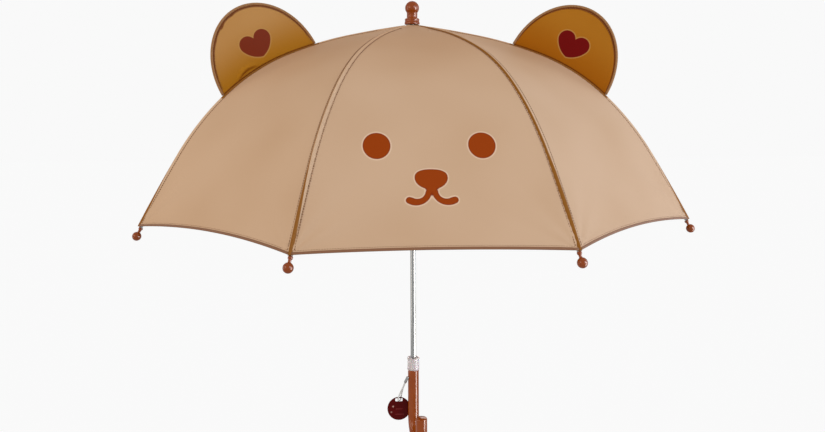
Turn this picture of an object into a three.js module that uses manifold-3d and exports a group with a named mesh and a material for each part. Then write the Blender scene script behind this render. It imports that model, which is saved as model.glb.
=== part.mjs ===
// A children's stick umbrella with two ears on its canopy, open.
// Millimetres, +Z up. The origin is on the shaft's axis, where the hand holds the handle.
import * as THREE from "three";
import { mergeVertices } from "three/addons/utils/BufferGeometryUtils.js";
import Module from "manifold-3d";

const wasm = await Module();
wasm.setup();

const degree = Math.PI / 180;
const gap = 0.3; // between pieces that touch
const runGap = 0.35; // round a piece that slides or turns on another

// Canopy
const ribCount = 8;
const tipRadius = 380; // from the axis to the rib tips
const hemHeight = 270; // the rib tips above the grip
const ribSlopes = [11, 13, 23, 44, 60, 63]; // degrees below level, at equal steps from crown to tip
const clothThickness = 1.2;
const clothStart = 7; // the canopy's edge round the shaft, along the cloth from the axis
const clothDip = 3; // how far a panel sinks between its ribs
const seamGap = 0.8; // between neighbouring panels
const hemRise = 9; // how far the hem curves up between two ribs
const frontHemRise = 3; // the same on the front panel, which is cut longer under the face
const bindingWidth = 3;
const bindingProud = 0.3; // the hem binding stands this far out of the cloth on each face

// Ribs and stretchers
const ribWidth = 3.4;
const ribDepth = 2.8;
const channelWall = 0.6;
const ribGap = 0.8; // between the cloth and the ribs under it
const ribEyeRadius = 9.5; // the crown wire's radius, on which the ribs turn
const ribEyeDrop = 2; // the eye below the middle of the rib
const stretcherAt = 180; // the radius at which the stretchers meet the ribs
const stretcherWidth = 5.8;
const stretcherDepth = 2.6;
const stretcherEyeRadius = 11.5; // the runner wire's radius
const pinDrop = 1.2; // the stretcher's pin below the middle of the rib
const forkLength = 12;
const eyeThickness = 1.6;
const eyeRadius = 1.7;
const eyeLength = 5; // from a wire to the end of the channel beside it
const wireRadius = 0.45;
const tipBallRadius = 5.5;
const tipStemRadius = 1.7;
const tipStemLength = 7;

// Shaft and what is on it
const shaftRadius = 4;
const shaftWall = 0.7;
const shaftInHandle = 45;
const shaftInFinial = 8;
const notchRadius = 12;
const runnerDrop = 122; // the runner wire below the crown, open
const runnerLength = 40;
const runnerRadius = 8.6;
const runnerFlangeRadius = 14;
const runnerFootRadius = 10; // the ring at its lower end
const runnerFootHeight = 5;
const runnerWindowLength = 9; // over the catch's nose
const runnerWindowAt = 15; // the window's middle above the runner's lower end
const hubAbove = 3.8; // of a hub, on the side that its ribs or stretchers fold to
const hubBelow = 2.6; // and on the other side
const keyWidth = 3.2; // the channel in the runner that passes over the catches
const keyRadius = 7;
const catchWidth = 2;
const catchLength = 24;
const catchReach = 6.2; // from the axis to the catch's nose
const noseLength = 14; // along the shaft, down the nose's slope
const leafThickness = 1.2;
const catchDrop = 0.5; // the top catch's nose below the runner, open
const catchInRunner = 12; // the bottom catch's nose above the runner's lower end, closed
const catchWindowLength = 17; // in the shaft
const runnerTravel = 240; // from open to closed

// Finial
const finialRadius = 11.2;
const finialBaseHeight = 8;
const finialNeckRadius = 7.8;
const finialNeckHeight = 6.5;
const finialBallRadius = 10.4;
const finialAbove = 0.6; // the crown of the cloth

// Handle
const handleRadius = 8;
const handleTop = 33;
const hookStart = -35;
const hookRadius = 25;
const hookRise = 16.5; // from the hook's bend up to its end
const hookTurn = 9 * degree; // the hook's plane, from the front towards +X
const collarRadius = 9;
const collarHeight = 17.5;
const collarMouthRadius = 6.6;
const collarMouthDepth = 7;

// Ears
const earRibs = [2, 7]; // the ribs that carry them
const earFrom = 153; // along the seam from the axis
const earTo = 301;
const earHeight = 91;
const earThickness = 2;
const earLift = 1.4; // above the seam
const earWireRadius = 1.3;

// Name tag and tie strap
const tagRadius = 17;
const tagThickness = 1.2;
const tagCentre = new THREE.Vector3(-21, 10, -28);
const tagSlotWidth = 13;
const tagSlotHeight = 5.4;
const tagSlotDrop = 4.2; // the slot's middle below the disc's top edge
const claspTop = new THREE.Vector3(-8.5, -5.8, 24);
const claspEnd = new THREE.Vector3(-12.4, -1, 14.2);
const claspWidth = 3.8;
const claspThickness = 2.2;
const strapRadius = 1;
const strapRoute = [
  [-13.1, -0.6, 12.7],
  [-14.4, 0.9, 8.7],
  [-16.1, 2.8, 4],
  [-18, 5, -0.8],
  [-19.9, 6.8, -5.6],
  [-21.5, 7.4, -10.4],
  [-22.4, 7.5, -13.6],
  [-22.1, 8.2, -15.4],
  [-20.3, 9.8, -16.2],
  [-18.4, 11.5, -15.4],
  [-17.9, 12.7, -13.6],
  [-17.4, 12.6, -10.4],
  [-16.7, 10.9, -5.6],
  [-15.9, 8.6, -0.8],
  [-14.9, 6, 4],
  [-13.6, 3.2, 8.7],
  [-12.1, 1, 12.5],
];
const tiePanel = 5;
const tieWidth = 18;
const tieFrom = 372;
const tieTo = 462;
const tieThickness = 1;
const studRadius = 5;
const studHeight = 1.6;
const studAt = 12; // from the strap's end

const part = new THREE.Group();
const finishes = {
  cloth: { color: 0xc4a384, roughness: 0.8, metalness: 0 },
  earCloth: { color: 0xa8702c, roughness: 0.75, metalness: 0 },
  binding: { color: 0x8f6546, roughness: 0.8, metalness: 0 },
  steel: { color: 0xb9bab8, roughness: 0.25, metalness: 1 },
  brownPlastic: { color: 0x8b4513, roughness: 0.2, metalness: 0 },
  handlePlastic: { color: 0x9a4f1e, roughness: 0.15, metalness: 0 },
  whitePlastic: { color: 0xe1dade, roughness: 0.35, metalness: 0 },
  tagPlastic: { color: 0x580005, roughness: 0.3, metalness: 0 },
  cord: { color: 0xe1e6e4, roughness: 0.7, metalness: 0 },
};

function add(name, geometry, finish, azimuth = 0) {
  const mesh = new THREE.Mesh(geometry, new THREE.MeshStandardMaterial(finishes[finish]));
  mesh.name = name;
  mesh.rotation.z = azimuth;
  part.add(mesh);
}

// Booleans: a closed geometry as a solid, and a solid as a geometry.
function solid(geometry) {
  const bare = geometry.clone();
  bare.deleteAttribute("normal");
  bare.deleteAttribute("uv");
  const merged = mergeVertices(bare, 1e-4);
  return new wasm.Manifold(
    new wasm.Mesh({
      numProp: 3,
      vertProperties: merged.attributes.position.array,
      triVerts: new Uint32Array(merged.index.array),
    }),
  );
}

function geometryOf(body) {
  const mesh = body.getMesh();
  const geometry = new THREE.BufferGeometry();
  geometry.setAttribute("position", new THREE.BufferAttribute(mesh.vertProperties, 3));
  geometry.setIndex(new THREE.BufferAttribute(mesh.triVerts, 1));
  geometry.computeVertexNormals();
  return geometry;
}

function box(width, depth, height, x, y, z) {
  return new THREE.BoxGeometry(width, depth, height).translate(x, y, z);
}

function lathe(points, segments = 20) {
  const outline = points.map(([radius, height]) => new THREE.Vector2(radius, height));
  return new THREE.LatheGeometry(outline, segments).rotateX(Math.PI / 2);
}

function round(radius, sides) {
  const section = new THREE.Shape();
  for (let i = 0; i < sides; i += 1) {
    const turn = (2 * Math.PI * i) / sides;
    const corner = [radius * Math.cos(turn), radius * Math.sin(turn)];
    if (i === 0) section.moveTo(...corner);
    else section.lineTo(...corner);
  }
  section.closePath();
  return section;
}

function sweep(section, path, steps) {
  return new THREE.ExtrudeGeometry(section, { extrudePath: path, steps, curveSegments: 1 });
}

// The line of a seam in its own upright plane: distance out, height and slope
// at a distance along the cloth from the axis. Past the tip it goes on straight.
const meridianSteps = 240;
const meridian = [{ out: 0, drop: 0, slope: ribSlopes[0] * degree }];
for (let i = 1; i <= meridianSteps; i += 1) {
  const place = (i / meridianSteps) * (ribSlopes.length - 1);
  const from = Math.min(Math.floor(place), ribSlopes.length - 2);
  const slope = THREE.MathUtils.lerp(ribSlopes[from], ribSlopes[from + 1], place - from) * degree;
  const last = meridian[i - 1];
  meridian.push({ out: last.out + Math.cos(slope), drop: last.drop + Math.sin(slope), slope });
}
const meridianScale = tipRadius / meridian[meridianSteps].out;
const seamLength = meridianSteps * meridianScale;
const crownHeight = hemHeight + meridian[meridianSteps].drop * meridianScale;

function onSeam(along) {
  const place = along / meridianScale;
  const from = Math.min(Math.floor(place), meridianSteps - 1);
  const a = meridian[from];
  const b = meridian[from + 1];
  return {
    out: THREE.MathUtils.lerp(a.out, b.out, place - from) * meridianScale,
    height: crownHeight - THREE.MathUtils.lerp(a.drop, b.drop, place - from) * meridianScale,
    slope: b.slope,
  };
}

function alongAt(out) {
  const from = meridian.findIndex((step) => step.out * meridianScale > out) - 1;
  const a = meridian[from].out * meridianScale;
  const b = meridian[from + 1].out * meridianScale;
  return (from + (out - a) / (b - a)) * meridianScale;
}

// A point in a rib's plane, so far below the seam, square to it.
function belowSeam(along, depth) {
  const seam = onSeam(along);
  const out = seam.out - depth * Math.sin(seam.slope);
  return new THREE.Vector3(out, 0, seam.height - depth * Math.cos(seam.slope));
}

const ribMiddle = clothThickness + 2 * bindingProud + ribGap + ribDepth / 2; // below the seam
const ribEye = belowSeam(alongAt(ribEyeRadius), ribMiddle + ribEyeDrop);
const stretcherPin = belowSeam(alongAt(stretcherAt), ribMiddle + pinDrop);
const runnerEye = new THREE.Vector3(stretcherEyeRadius, 0, crownHeight - runnerDrop);
const halfPanel = Math.PI / ribCount;
const frontPanel = -Math.PI / 2; // the first panel faces -Y
const ribAzimuth = (rib) => frontPanel + (2 * rib - 1) * halfPanel;
const panelAzimuth = (panel) => frontPanel + (2 * panel - 2) * halfPanel;

// Cloth: a box bent onto a panel, with the panel's middle on +X.
function clothPoint(across, along, depth) {
  const seam = onSeam(along);
  const slope = Math.atan(Math.tan(seam.slope) / Math.cos(halfPanel));
  const dip = clothDip * (1 - across ** 2) * Math.sin((Math.PI * along) / seamLength) + depth;
  const out = seam.out * Math.cos(halfPanel) - dip * Math.sin(slope);
  const edge = out * Math.tan(halfPanel) - seamGap / 2 / Math.cos(halfPanel);
  return new THREE.Vector3(out, across * edge, seam.height - dip * Math.cos(slope));
}

const hemAt = (rise, across) => seamLength - rise * (1 - across ** 2);

function clothPatch({ from, to, top, thickness, acrossSteps, alongSteps }) {
  const slab = new THREE.BoxGeometry(2, 1, 1, acrossSteps, alongSteps, 1);
  const corners = slab.attributes.position;
  for (let i = 0; i < corners.count; i += 1) {
    const across = corners.getX(i);
    const along = THREE.MathUtils.lerp(from(across), to(across), corners.getY(i) + 0.5);
    const point = clothPoint(across, along, top + (corners.getZ(i) + 0.5) * thickness);
    corners.setXYZ(i, point.x, point.y, point.z);
  }
  slab.computeVertexNormals();
  return slab;
}

function panelCloth(rise) {
  return clothPatch({
    from: () => clothStart,
    to: (across) => hemAt(rise, across) - bindingWidth - gap,
    top: bindingProud,
    thickness: clothThickness,
    acrossSteps: 6,
    alongSteps: 16,
  });
}

function hemBinding(rise) {
  return clothPatch({
    from: (across) => hemAt(rise, across) - bindingWidth,
    to: (across) => hemAt(rise, across),
    top: 0,
    thickness: clothThickness + 2 * bindingProud,
    acrossSteps: 8,
    alongSteps: 1,
  });
}

for (let panel = 1; panel <= ribCount; panel += 1) {
  const rise = panel === 1 ? frontHemRise : hemRise;
  add(`canopy_panel_${panel}`, panelCloth(rise), "cloth", panelAzimuth(panel));
  add(`hem_binding_${panel}`, hemBinding(rise), "binding", panelAzimuth(panel));
}

// A channel with its open side on local -Y, for ribs, or +Y, for stretchers.
function channel(width, depth, wall, open) {
  const inner = width / 2 - wall;
  const floor = -open * (depth / 2 - wall);
  const outline = [
    [-width / 2, (open * depth) / 2],
    [-width / 2, (-open * depth) / 2],
    [width / 2, (-open * depth) / 2],
    [width / 2, (open * depth) / 2],
    [inner, (open * depth) / 2],
    [inner, floor],
    [-inner, floor],
    [-inner, (open * depth) / 2],
  ];
  return new THREE.Shape(outline.map(([x, y]) => new THREE.Vector2(x, y)));
}

// An eye that turns on a wire: a plate with a round end and a hole, along +X from its wire.
function eye(length, plateHeight) {
  const plate = solid(box(length, eyeThickness, plateHeight, length / 2, 0, 0));
  const end = solid(new THREE.CylinderGeometry(eyeRadius, eyeRadius, eyeThickness, 10));
  const hole = solid(new THREE.CylinderGeometry(wireRadius + runGap, wireRadius + runGap, 9, 8));
  return plate.add(end).subtract(hole);
}

function place(body, at, rise) {
  const turned = geometryOf(body).rotateY(-rise).translate(at.x, at.y, at.z);
  return solid(turned);
}

// Rib: a steel channel, open side down, that follows the seam from the crown to the hem.
// The section's own corners are set square to the line at each station.
function ribGeometry() {
  const stations = 17;
  const from = alongAt(ribEyeRadius + eyeLength);
  const section = channel(ribWidth, ribDepth, channelWall, -1);
  const bar = new THREE.ExtrudeGeometry(section, {
    depth: 1,
    steps: stations,
    bevelEnabled: false,
  });
  const corners = bar.attributes.position;
  for (let i = 0; i < corners.count; i += 1) {
    const along = THREE.MathUtils.lerp(from, seamLength, corners.getZ(i));
    const point = belowSeam(along, ribMiddle - corners.getY(i));
    corners.setXYZ(i, point.x, corners.getX(i), point.z);
  }
  const start = belowSeam(from, ribMiddle);
  const rise = Math.atan2(start.z - ribEye.z, start.x - ribEye.x);
  const reach = start.distanceTo(ribEye) + channelWall;
  const plateHeight = ribDepth - 2 * channelWall;
  return geometryOf(solid(bar).add(place(eye(reach, plateHeight), ribEye, rise)));
}

// Stretcher: a wider channel, open side up, whose end straddles the rib.
function stretcherGeometry() {
  const span = new THREE.Vector3().subVectors(stretcherPin, runnerEye);
  const length = span.length();
  const rise = Math.atan2(span.z, span.x);
  const section = channel(stretcherWidth, stretcherDepth, channelWall, 1);
  const depth = length + eyeRadius - eyeLength;
  const bar = new THREE.ExtrudeGeometry(section, { depth, bevelEnabled: false });
  bar.applyMatrix4(
    new THREE.Matrix4().makeBasis(
      new THREE.Vector3(0, 1, 0),
      new THREE.Vector3(0, 0, 1),
      new THREE.Vector3(1, 0, 0),
    ),
  );
  bar.translate(eyeLength, 0, 0);
  const forkWidth = stretcherWidth - 2 * channelWall;
  const cut = box(2 * forkLength, forkWidth, 2 * stretcherDepth, length, 0, 0);
  const plateHeight = stretcherDepth - 2 * channelWall;
  const plate = eye(eyeLength + 2, plateHeight);
  const end = box(channelWall, stretcherWidth, stretcherDepth, eyeLength + channelWall / 2, 0, 0);
  const straight = solid(bar).subtract(solid(cut)).add(solid(end)).add(plate);
  return geometryOf(place(straight, runnerEye, rise));
}

// Rib tip: a ball on a short stem, in line with the rib's end.
function tipGeometry() {
  const start = belowSeam(seamLength, ribMiddle);
  const slope = onSeam(seamLength).slope;
  const ballAt = gap + tipStemLength + tipBallRadius - 1;
  const outline = [[0, gap], [tipStemRadius, gap]];
  const bend = Math.asin(tipStemRadius / tipBallRadius);
  const arcSteps = 5;
  for (let i = 0; i < arcSteps; i += 1) {
    const turn = bend + ((Math.PI - bend) * i) / arcSteps;
    outline.push([tipBallRadius * Math.sin(turn), ballAt - tipBallRadius * Math.cos(turn)]);
  }
  outline.push([0, ballAt + tipBallRadius]);
  const tip = lathe(outline, 10);
  tip.rotateY(Math.PI / 2 + slope).translate(start.x, start.y, start.z);
  return tip;
}

const rib = ribGeometry();
const stretcher = stretcherGeometry();
const ribTip = tipGeometry();
for (let i = 1; i <= ribCount; i += 1) {
  add(`rib_${i}`, rib, "steel", ribAzimuth(i));
  add(`stretcher_${i}`, stretcher, "steel", ribAzimuth(i));
  add(`rib_tip_${i}`, ribTip, "brownPlastic", ribAzimuth(i));
}

// Hubs: the crown notch and the runner's flange each have a slot for every eye,
// and a groove for the wire that the eyes turn on.
function slots(eyeAt, radius) {
  const width = eyeThickness + 2 * runGap;
  const inner = eyeAt.x - eyeRadius - 2 * runGap;
  const height = 4 * hubAbove;
  let cuts = null;
  for (let i = 1; i <= ribCount; i += 1) {
    const slot = box(radius - inner + 1, width, height, (radius + inner + 1) / 2, 0, eyeAt.z);
    const turned = solid(slot.rotateZ(ribAzimuth(i)));
    cuts = cuts ? cuts.add(turned) : turned;
  }
  return cuts;
}

function hubOutline(eyeAt, radius, bore, top, bottom) {
  const groove = wireRadius + runGap;
  return [
    [bore, bottom],
    [radius, bottom],
    [radius, eyeAt.z - groove],
    [eyeAt.x - groove, eyeAt.z - groove],
    [eyeAt.x - groove, eyeAt.z + groove],
    [radius, eyeAt.z + groove],
    [radius, top],
    [bore, top],
    [bore, bottom],
  ];
}

const bore = shaftRadius + runGap;
const notchTop = ribEye.z + hubBelow;
const notch = lathe(hubOutline(ribEye, notchRadius, bore, notchTop, ribEye.z - hubAbove));
add("crown_notch", geometryOf(solid(notch).subtract(slots(ribEye, notchRadius))), "whitePlastic");

function wireRing(eyeAt) {
  return new THREE.TorusGeometry(eyeAt.x, wireRadius, 5, 24).translate(0, 0, eyeAt.z);
}
add("crown_wire", wireRing(ribEye), "steel");
add("runner_wire", wireRing(runnerEye), "steel");

const runnerTop = runnerEye.z + hubAbove;
const runnerBottom = runnerTop - runnerLength;
function runnerGeometry() {
  const flangeBottom = runnerEye.z - hubBelow;
  const footTop = runnerBottom + runnerFootHeight;
  const flange = hubOutline(runnerEye, runnerFlangeRadius, bore, runnerTop, flangeBottom);
  const outline = [
    [bore, runnerBottom],
    [runnerFootRadius, runnerBottom],
    [runnerFootRadius, footTop],
    [runnerRadius, footTop + 2],
    [runnerRadius, flangeBottom],
    ...flange.slice(1, -1),
    [bore, runnerBottom],
  ];
  const key = box(keyWidth, keyRadius, 3 * runnerLength, 0, keyRadius / 2, runnerBottom);
  const windowAt = runnerBottom + runnerWindowAt;
  const window = box(keyWidth, 2 * runnerRadius, runnerWindowLength, 0, runnerRadius + 1, windowAt);
  const sleeve = solid(lathe(outline)).subtract(slots(runnerEye, runnerFlangeRadius));
  return geometryOf(sleeve.subtract(solid(key)).subtract(solid(window)));
}
add("runner", runnerGeometry(), "whitePlastic");

// Catches: sprung steel leaves inside the shaft, each with a nose through a window behind.
// The nose's square end holds the runner: its upper end open, its lower end closed.
function catchGeometry(noseEnd, up) {
  const leafOutside = shaftRadius - shaftWall - 1.5 * runGap;
  const leafInside = leafOutside - leafThickness;
  const outline = [
    [leafInside, 1],
    [leafInside, -catchLength],
    [leafOutside, -catchLength],
    [leafOutside, -noseLength],
    [catchReach, -2],
    [catchReach, 0],
    [leafOutside, 0],
    [leafOutside, 1],
  ];
  const shape = new THREE.Shape(outline.map(([y, z]) => new THREE.Vector2(y, z)));
  const leaf = new THREE.ExtrudeGeometry(shape, { depth: catchWidth, bevelEnabled: false });
  leaf.translate(0, 0, -catchWidth / 2);
  // The shape's X becomes +Y and its Y becomes Z, and the leaf's width lies along X.
  leaf.applyMatrix4(
    new THREE.Matrix4().makeBasis(
      new THREE.Vector3(0, 1, 0),
      new THREE.Vector3(0, 0, 1),
      new THREE.Vector3(1, 0, 0),
    ),
  );
  if (!up) leaf.rotateY(Math.PI);
  return leaf.translate(0, 0, noseEnd);
}

const topNose = runnerBottom - catchDrop;
const bottomNose = runnerBottom - runnerTravel + catchInRunner;
add("top_catch", catchGeometry(topNose, true), "steel");
add("bottom_catch", catchGeometry(bottomNose, false), "steel");

const finialBottom = crownHeight + finialAbove;
const shaftTop = finialBottom + shaftInFinial;
const shaftBottom = handleTop - shaftInHandle;
function shaftGeometry() {
  const tube = [
    [shaftRadius - shaftWall, shaftBottom],
    [shaftRadius, shaftBottom],
    [shaftRadius, shaftTop],
    [shaftRadius - shaftWall, shaftTop],
    [shaftRadius - shaftWall, shaftBottom],
  ];
  // Each window runs from just past the leaf's end to below the nose's slope.
  const width = catchWidth + 2 * runGap;
  const cut = (z) => solid(box(width, 2 * shaftRadius, catchWindowLength, 0, shaftRadius, z));
  const upper = cut(topNose + 1 + runGap - catchWindowLength / 2);
  const lower = cut(bottomNose - 1 - runGap + catchWindowLength / 2);
  return geometryOf(solid(lathe(tube, 24)).subtract(upper).subtract(lower));
}
add("shaft", shaftGeometry(), "steel");

// Finial: base ring, neck and ball, on the end of the shaft.
function finialGeometry() {
  const neckBottom = finialBottom + finialBaseHeight;
  const ballMiddle = neckBottom + finialNeckHeight + finialBallRadius - 2;
  const socketTop = shaftTop + gap;
  const outline = [
    [0, socketTop],
    [shaftRadius + gap, socketTop],
    [shaftRadius + gap, finialBottom],
    [finialRadius - 1, finialBottom],
    [finialRadius, finialBottom + 1.2],
    [finialRadius, neckBottom - 2],
    [finialRadius - 1.6, neckBottom],
    [finialNeckRadius, neckBottom + 0.8],
  ];
  const bend = Math.asin(finialNeckRadius / finialBallRadius);
  const arcSteps = 7;
  for (let i = 0; i < arcSteps; i += 1) {
    const turn = bend + ((Math.PI - bend) * i) / arcSteps;
    outline.push([finialBallRadius * Math.sin(turn), ballMiddle - finialBallRadius * Math.cos(turn)]);
  }
  outline.push([0, ballMiddle + finialBallRadius]);
  return lathe(outline);
}
add("finial", finialGeometry(), "brownPlastic");

// Handle: a round bar bent into a hook, bored for the shaft, and the collar over its top.
function handleGeometry() {
  const path = new THREE.CurvePath();
  const bendStart = new THREE.Vector3(0, 0, hookStart);
  const bendEnd = new THREE.Vector3(2 * hookRadius, 0, hookStart);
  path.add(new THREE.LineCurve3(new THREE.Vector3(0, 0, handleTop), bendStart));
  const quarter = 0.5522847 * hookRadius; // a cubic's handle length for a quarter circle
  const lowest = new THREE.Vector3(hookRadius, 0, hookStart - hookRadius);
  path.add(
    new THREE.CubicBezierCurve3(
      bendStart,
      new THREE.Vector3(0, 0, hookStart - quarter),
      new THREE.Vector3(hookRadius - quarter, 0, hookStart - hookRadius),
      lowest,
    ),
  );
  path.add(
    new THREE.CubicBezierCurve3(
      lowest,
      new THREE.Vector3(hookRadius + quarter, 0, hookStart - hookRadius),
      new THREE.Vector3(2 * hookRadius, 0, hookStart - quarter),
      bendEnd,
    ),
  );
  path.add(new THREE.LineCurve3(bendEnd, new THREE.Vector3(2 * hookRadius, 0, hookStart + hookRise)));
  const boreRadius = shaftRadius + gap;
  const socket = new THREE.CylinderGeometry(boreRadius, boreRadius, 2 * (shaftInHandle + gap), 20);
  socket.rotateX(Math.PI / 2).translate(0, 0, handleTop);
  return geometryOf(solid(sweep(round(handleRadius, 14), path, 22)).subtract(solid(socket)));
}
add("handle", handleGeometry(), "handlePlastic", frontPanel + hookTurn);

const collarBottom = handleTop + gap;
add(
  "collar",
  lathe([
    [bore, collarBottom],
    [collarRadius - 0.8, collarBottom],
    [collarRadius, collarBottom + 1],
    [collarRadius, collarBottom + collarHeight - 1],
    [collarRadius - 0.6, collarBottom + collarHeight],
    [collarMouthRadius, collarBottom + collarHeight],
    [bore, collarBottom + collarHeight - collarMouthDepth],
    [bore, collarBottom],
  ]),
  "whitePlastic",
);

// Ears: a flat cloth panel in the plane of its rib, in a wire hoop that stands on the seam.
const earStart = belowSeam(earFrom, -earLift);
const earEnd = belowSeam(earTo, -earLift);
const earMiddle = new THREE.Vector3().addVectors(earStart, earEnd).multiplyScalar(0.5);
const earAcross = new THREE.Vector3().subVectors(earEnd, earStart).normalize();
const earUp = new THREE.Vector3(-earAcross.z, 0, earAcross.x);
const earHalfWidth = earStart.distanceTo(earEnd) / 2;

function earPoint(turn, inset) {
  const across = -(earHalfWidth - inset) * Math.cos(turn);
  const up = (earHeight - inset) * Math.sin(turn);
  return earMiddle.clone().addScaledVector(earAcross, across).addScaledVector(earUp, up);
}

function earGeometry() {
  const inset = 2 * earWireRadius + gap;
  const first = 9 * degree;
  const arcSteps = 20;
  const outline = [];
  for (let i = 0; i <= arcSteps; i += 1) {
    const turn = first + ((Math.PI - 2 * first) * i) / arcSteps;
    outline.push(earPoint(turn, inset));
  }
  const baseSteps = 8;
  for (let i = 0; i <= baseSteps; i += 1) {
    const along = THREE.MathUtils.lerp(earTo - inset - 4, earFrom + inset + 4, i / baseSteps);
    outline.push(belowSeam(along, -earLift));
  }
  const shape = new THREE.Shape(outline.map((point) => new THREE.Vector2(point.x, point.z)));
  const plate = new THREE.ExtrudeGeometry(shape, { depth: earThickness, bevelEnabled: false });
  return plate.rotateX(Math.PI / 2).translate(0, earThickness / 2, 0);
}

function earWireGeometry() {
  const hoopSteps = 16;
  const points = [];
  for (let i = 0; i <= hoopSteps; i += 1) {
    points.push(earPoint((Math.PI * i) / hoopSteps, earWireRadius));
  }
  return sweep(round(earWireRadius, 8), new THREE.CatmullRomCurve3(points), 20);
}
const earPlate = earGeometry();
const earWire = earWireGeometry();
for (const [side, ribNumber] of [["left", earRibs[1]], ["right", earRibs[0]]]) {
  add(`ear_${side}`, earPlate, "earCloth", ribAzimuth(ribNumber));
  add(`ear_wire_${side}`, earWire, "binding", ribAzimuth(ribNumber));
}

// Tie strap and its press stud, on the outside of the back panel.
function tieGeometry() {
  const strap = new THREE.BoxGeometry(1, 1, 1, 1, 6, 1);
  const corners = strap.attributes.position;
  for (let i = 0; i < corners.count; i += 1) {
    const along = THREE.MathUtils.lerp(tieFrom, tieTo, corners.getY(i) + 0.5);
    const depth = (corners.getZ(i) + 0.5) * tieThickness - tieThickness - gap;
    const point = clothPoint(0, along, depth + bindingProud);
    corners.setXYZ(i, point.x, corners.getX(i) * tieWidth, point.z);
  }
  strap.computeVertexNormals();
  return strap;
}
add("tie_strap", tieGeometry(), "cloth", panelAzimuth(tiePanel));

function studGeometry() {
  const along = tieTo - studAt;
  const seat = clothPoint(0, along, -tieThickness - 2 * gap + bindingProud);
  const next = clothPoint(0, along + 1, -tieThickness - 2 * gap + bindingProud);
  const slope = Math.atan2(seat.z - next.z, next.x - seat.x);
  const stud = lathe([[0, 0.4], [studRadius, 0.4], [studRadius - 1, studHeight], [0, studHeight]], 16);
  return stud.rotateY(slope).translate(seat.x, seat.y, seat.z);
}
add("tie_stud", studGeometry(), "brownPlastic", panelAzimuth(tiePanel));

// Name tag: a disc with a slot, on a loop of cord from a clasp beside the handle.
function tagGeometry() {
  const disc = new THREE.CylinderGeometry(tagRadius, tagRadius, tagThickness, 32);
  const slotDepth = 4 * tagThickness;
  const slot = new THREE.BoxGeometry(tagSlotWidth, slotDepth, tagSlotHeight);
  slot.translate(0, 0, tagRadius - tagSlotDrop);
  const cut = geometryOf(solid(disc).subtract(solid(slot)));
  return cut.translate(tagCentre.x, tagCentre.y, tagCentre.z);
}
add("name_tag", tagGeometry(), "tagPlastic");

function claspGeometry() {
  const span = new THREE.Vector3().subVectors(claspEnd, claspTop);
  const clasp = new THREE.BoxGeometry(claspWidth, claspThickness, span.length());
  const turn = new THREE.Quaternion().setFromUnitVectors(
    new THREE.Vector3(0, 0, -1),
    span.clone().normalize(),
  );
  const middle = new THREE.Vector3().addVectors(claspTop, claspEnd).multiplyScalar(0.5);
  return clasp.applyQuaternion(turn).translate(middle.x, middle.y, middle.z);
}
add("tag_clasp", claspGeometry(), "steel");

const strapPath = new THREE.CatmullRomCurve3(strapRoute.map((point) => new THREE.Vector3(...point)));
add("tag_strap", sweep(round(strapRadius, 8), strapPath, 18), "cord");

export default part;
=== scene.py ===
import math

import bmesh
import bpy
import numpy as np
from mathutils import Matrix, Vector


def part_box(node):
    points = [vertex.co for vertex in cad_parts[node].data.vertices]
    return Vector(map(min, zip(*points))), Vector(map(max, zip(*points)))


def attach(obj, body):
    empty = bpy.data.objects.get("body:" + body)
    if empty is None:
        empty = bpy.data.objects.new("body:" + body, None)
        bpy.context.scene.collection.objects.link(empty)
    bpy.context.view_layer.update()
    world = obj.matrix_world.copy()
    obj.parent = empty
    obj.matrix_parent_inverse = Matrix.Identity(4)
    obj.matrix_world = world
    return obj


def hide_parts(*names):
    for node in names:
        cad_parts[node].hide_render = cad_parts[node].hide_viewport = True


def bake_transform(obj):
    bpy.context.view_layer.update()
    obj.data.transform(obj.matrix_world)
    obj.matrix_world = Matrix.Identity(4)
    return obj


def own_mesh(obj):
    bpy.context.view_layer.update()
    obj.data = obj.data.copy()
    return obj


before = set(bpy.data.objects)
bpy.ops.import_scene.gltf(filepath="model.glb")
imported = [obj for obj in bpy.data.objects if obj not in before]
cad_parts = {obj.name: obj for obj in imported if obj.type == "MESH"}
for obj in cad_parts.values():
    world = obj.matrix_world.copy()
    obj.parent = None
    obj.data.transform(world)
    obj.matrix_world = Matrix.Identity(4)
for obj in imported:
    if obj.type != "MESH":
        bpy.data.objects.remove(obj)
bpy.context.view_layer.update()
mm = 0.001


def degrees(value):
    return math.radians(value)


def placed(name, data):
    item = bpy.data.objects.new(name, data)
    bpy.context.collection.objects.link(item)
    return item


# Camera, held level at the height of the ears' feet.
cameraView = {
    "distance": 1.0724,
    "turn": degrees(3.9),  # from the front towards -X
    "height": 0.4053,
    "roll": degrees(0.2),
    "lens": 31.81,
    "shiftY": -0.1211,
}


def makeCamera(view):
    data = bpy.data.cameras.new("camera")
    data.lens = view["lens"]
    data.shift_y = view["shiftY"]
    data.clip_start = 0.05
    data.clip_end = 60
    camera = placed("camera", data)
    out = view["distance"]
    camera.location = (-out * math.sin(view["turn"]), -out * math.cos(view["turn"]), view["height"])
    camera.rotation_euler = (degrees(90), view["roll"], -view["turn"])
    bpy.context.scene.camera = camera


makeCamera(cameraView)
print("camera made")


# Colours and nodes
def srgb(colour):
    channels = [int(colour[i:i + 2], 16) / 255 for i in (1, 3, 5)]
    linear = [c / 12.92 if c <= 0.04045 else ((c + 0.055) / 1.055) ** 2.4 for c in channels]
    return (*linear, 1.0)


def addNode(tree, kind, inputs=None, to=None, **settings):
    node = tree.nodes.new(kind)
    for name, value in settings.items():
        setattr(node, name, value)
    for key, value in (inputs or {}).items():
        if isinstance(value, bpy.types.NodeSocket):
            tree.links.new(value, node.inputs[key])
        else:
            node.inputs[key].default_value = value
    if to is not None:
        tree.links.new(node.outputs[0], to)
    return node


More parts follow.
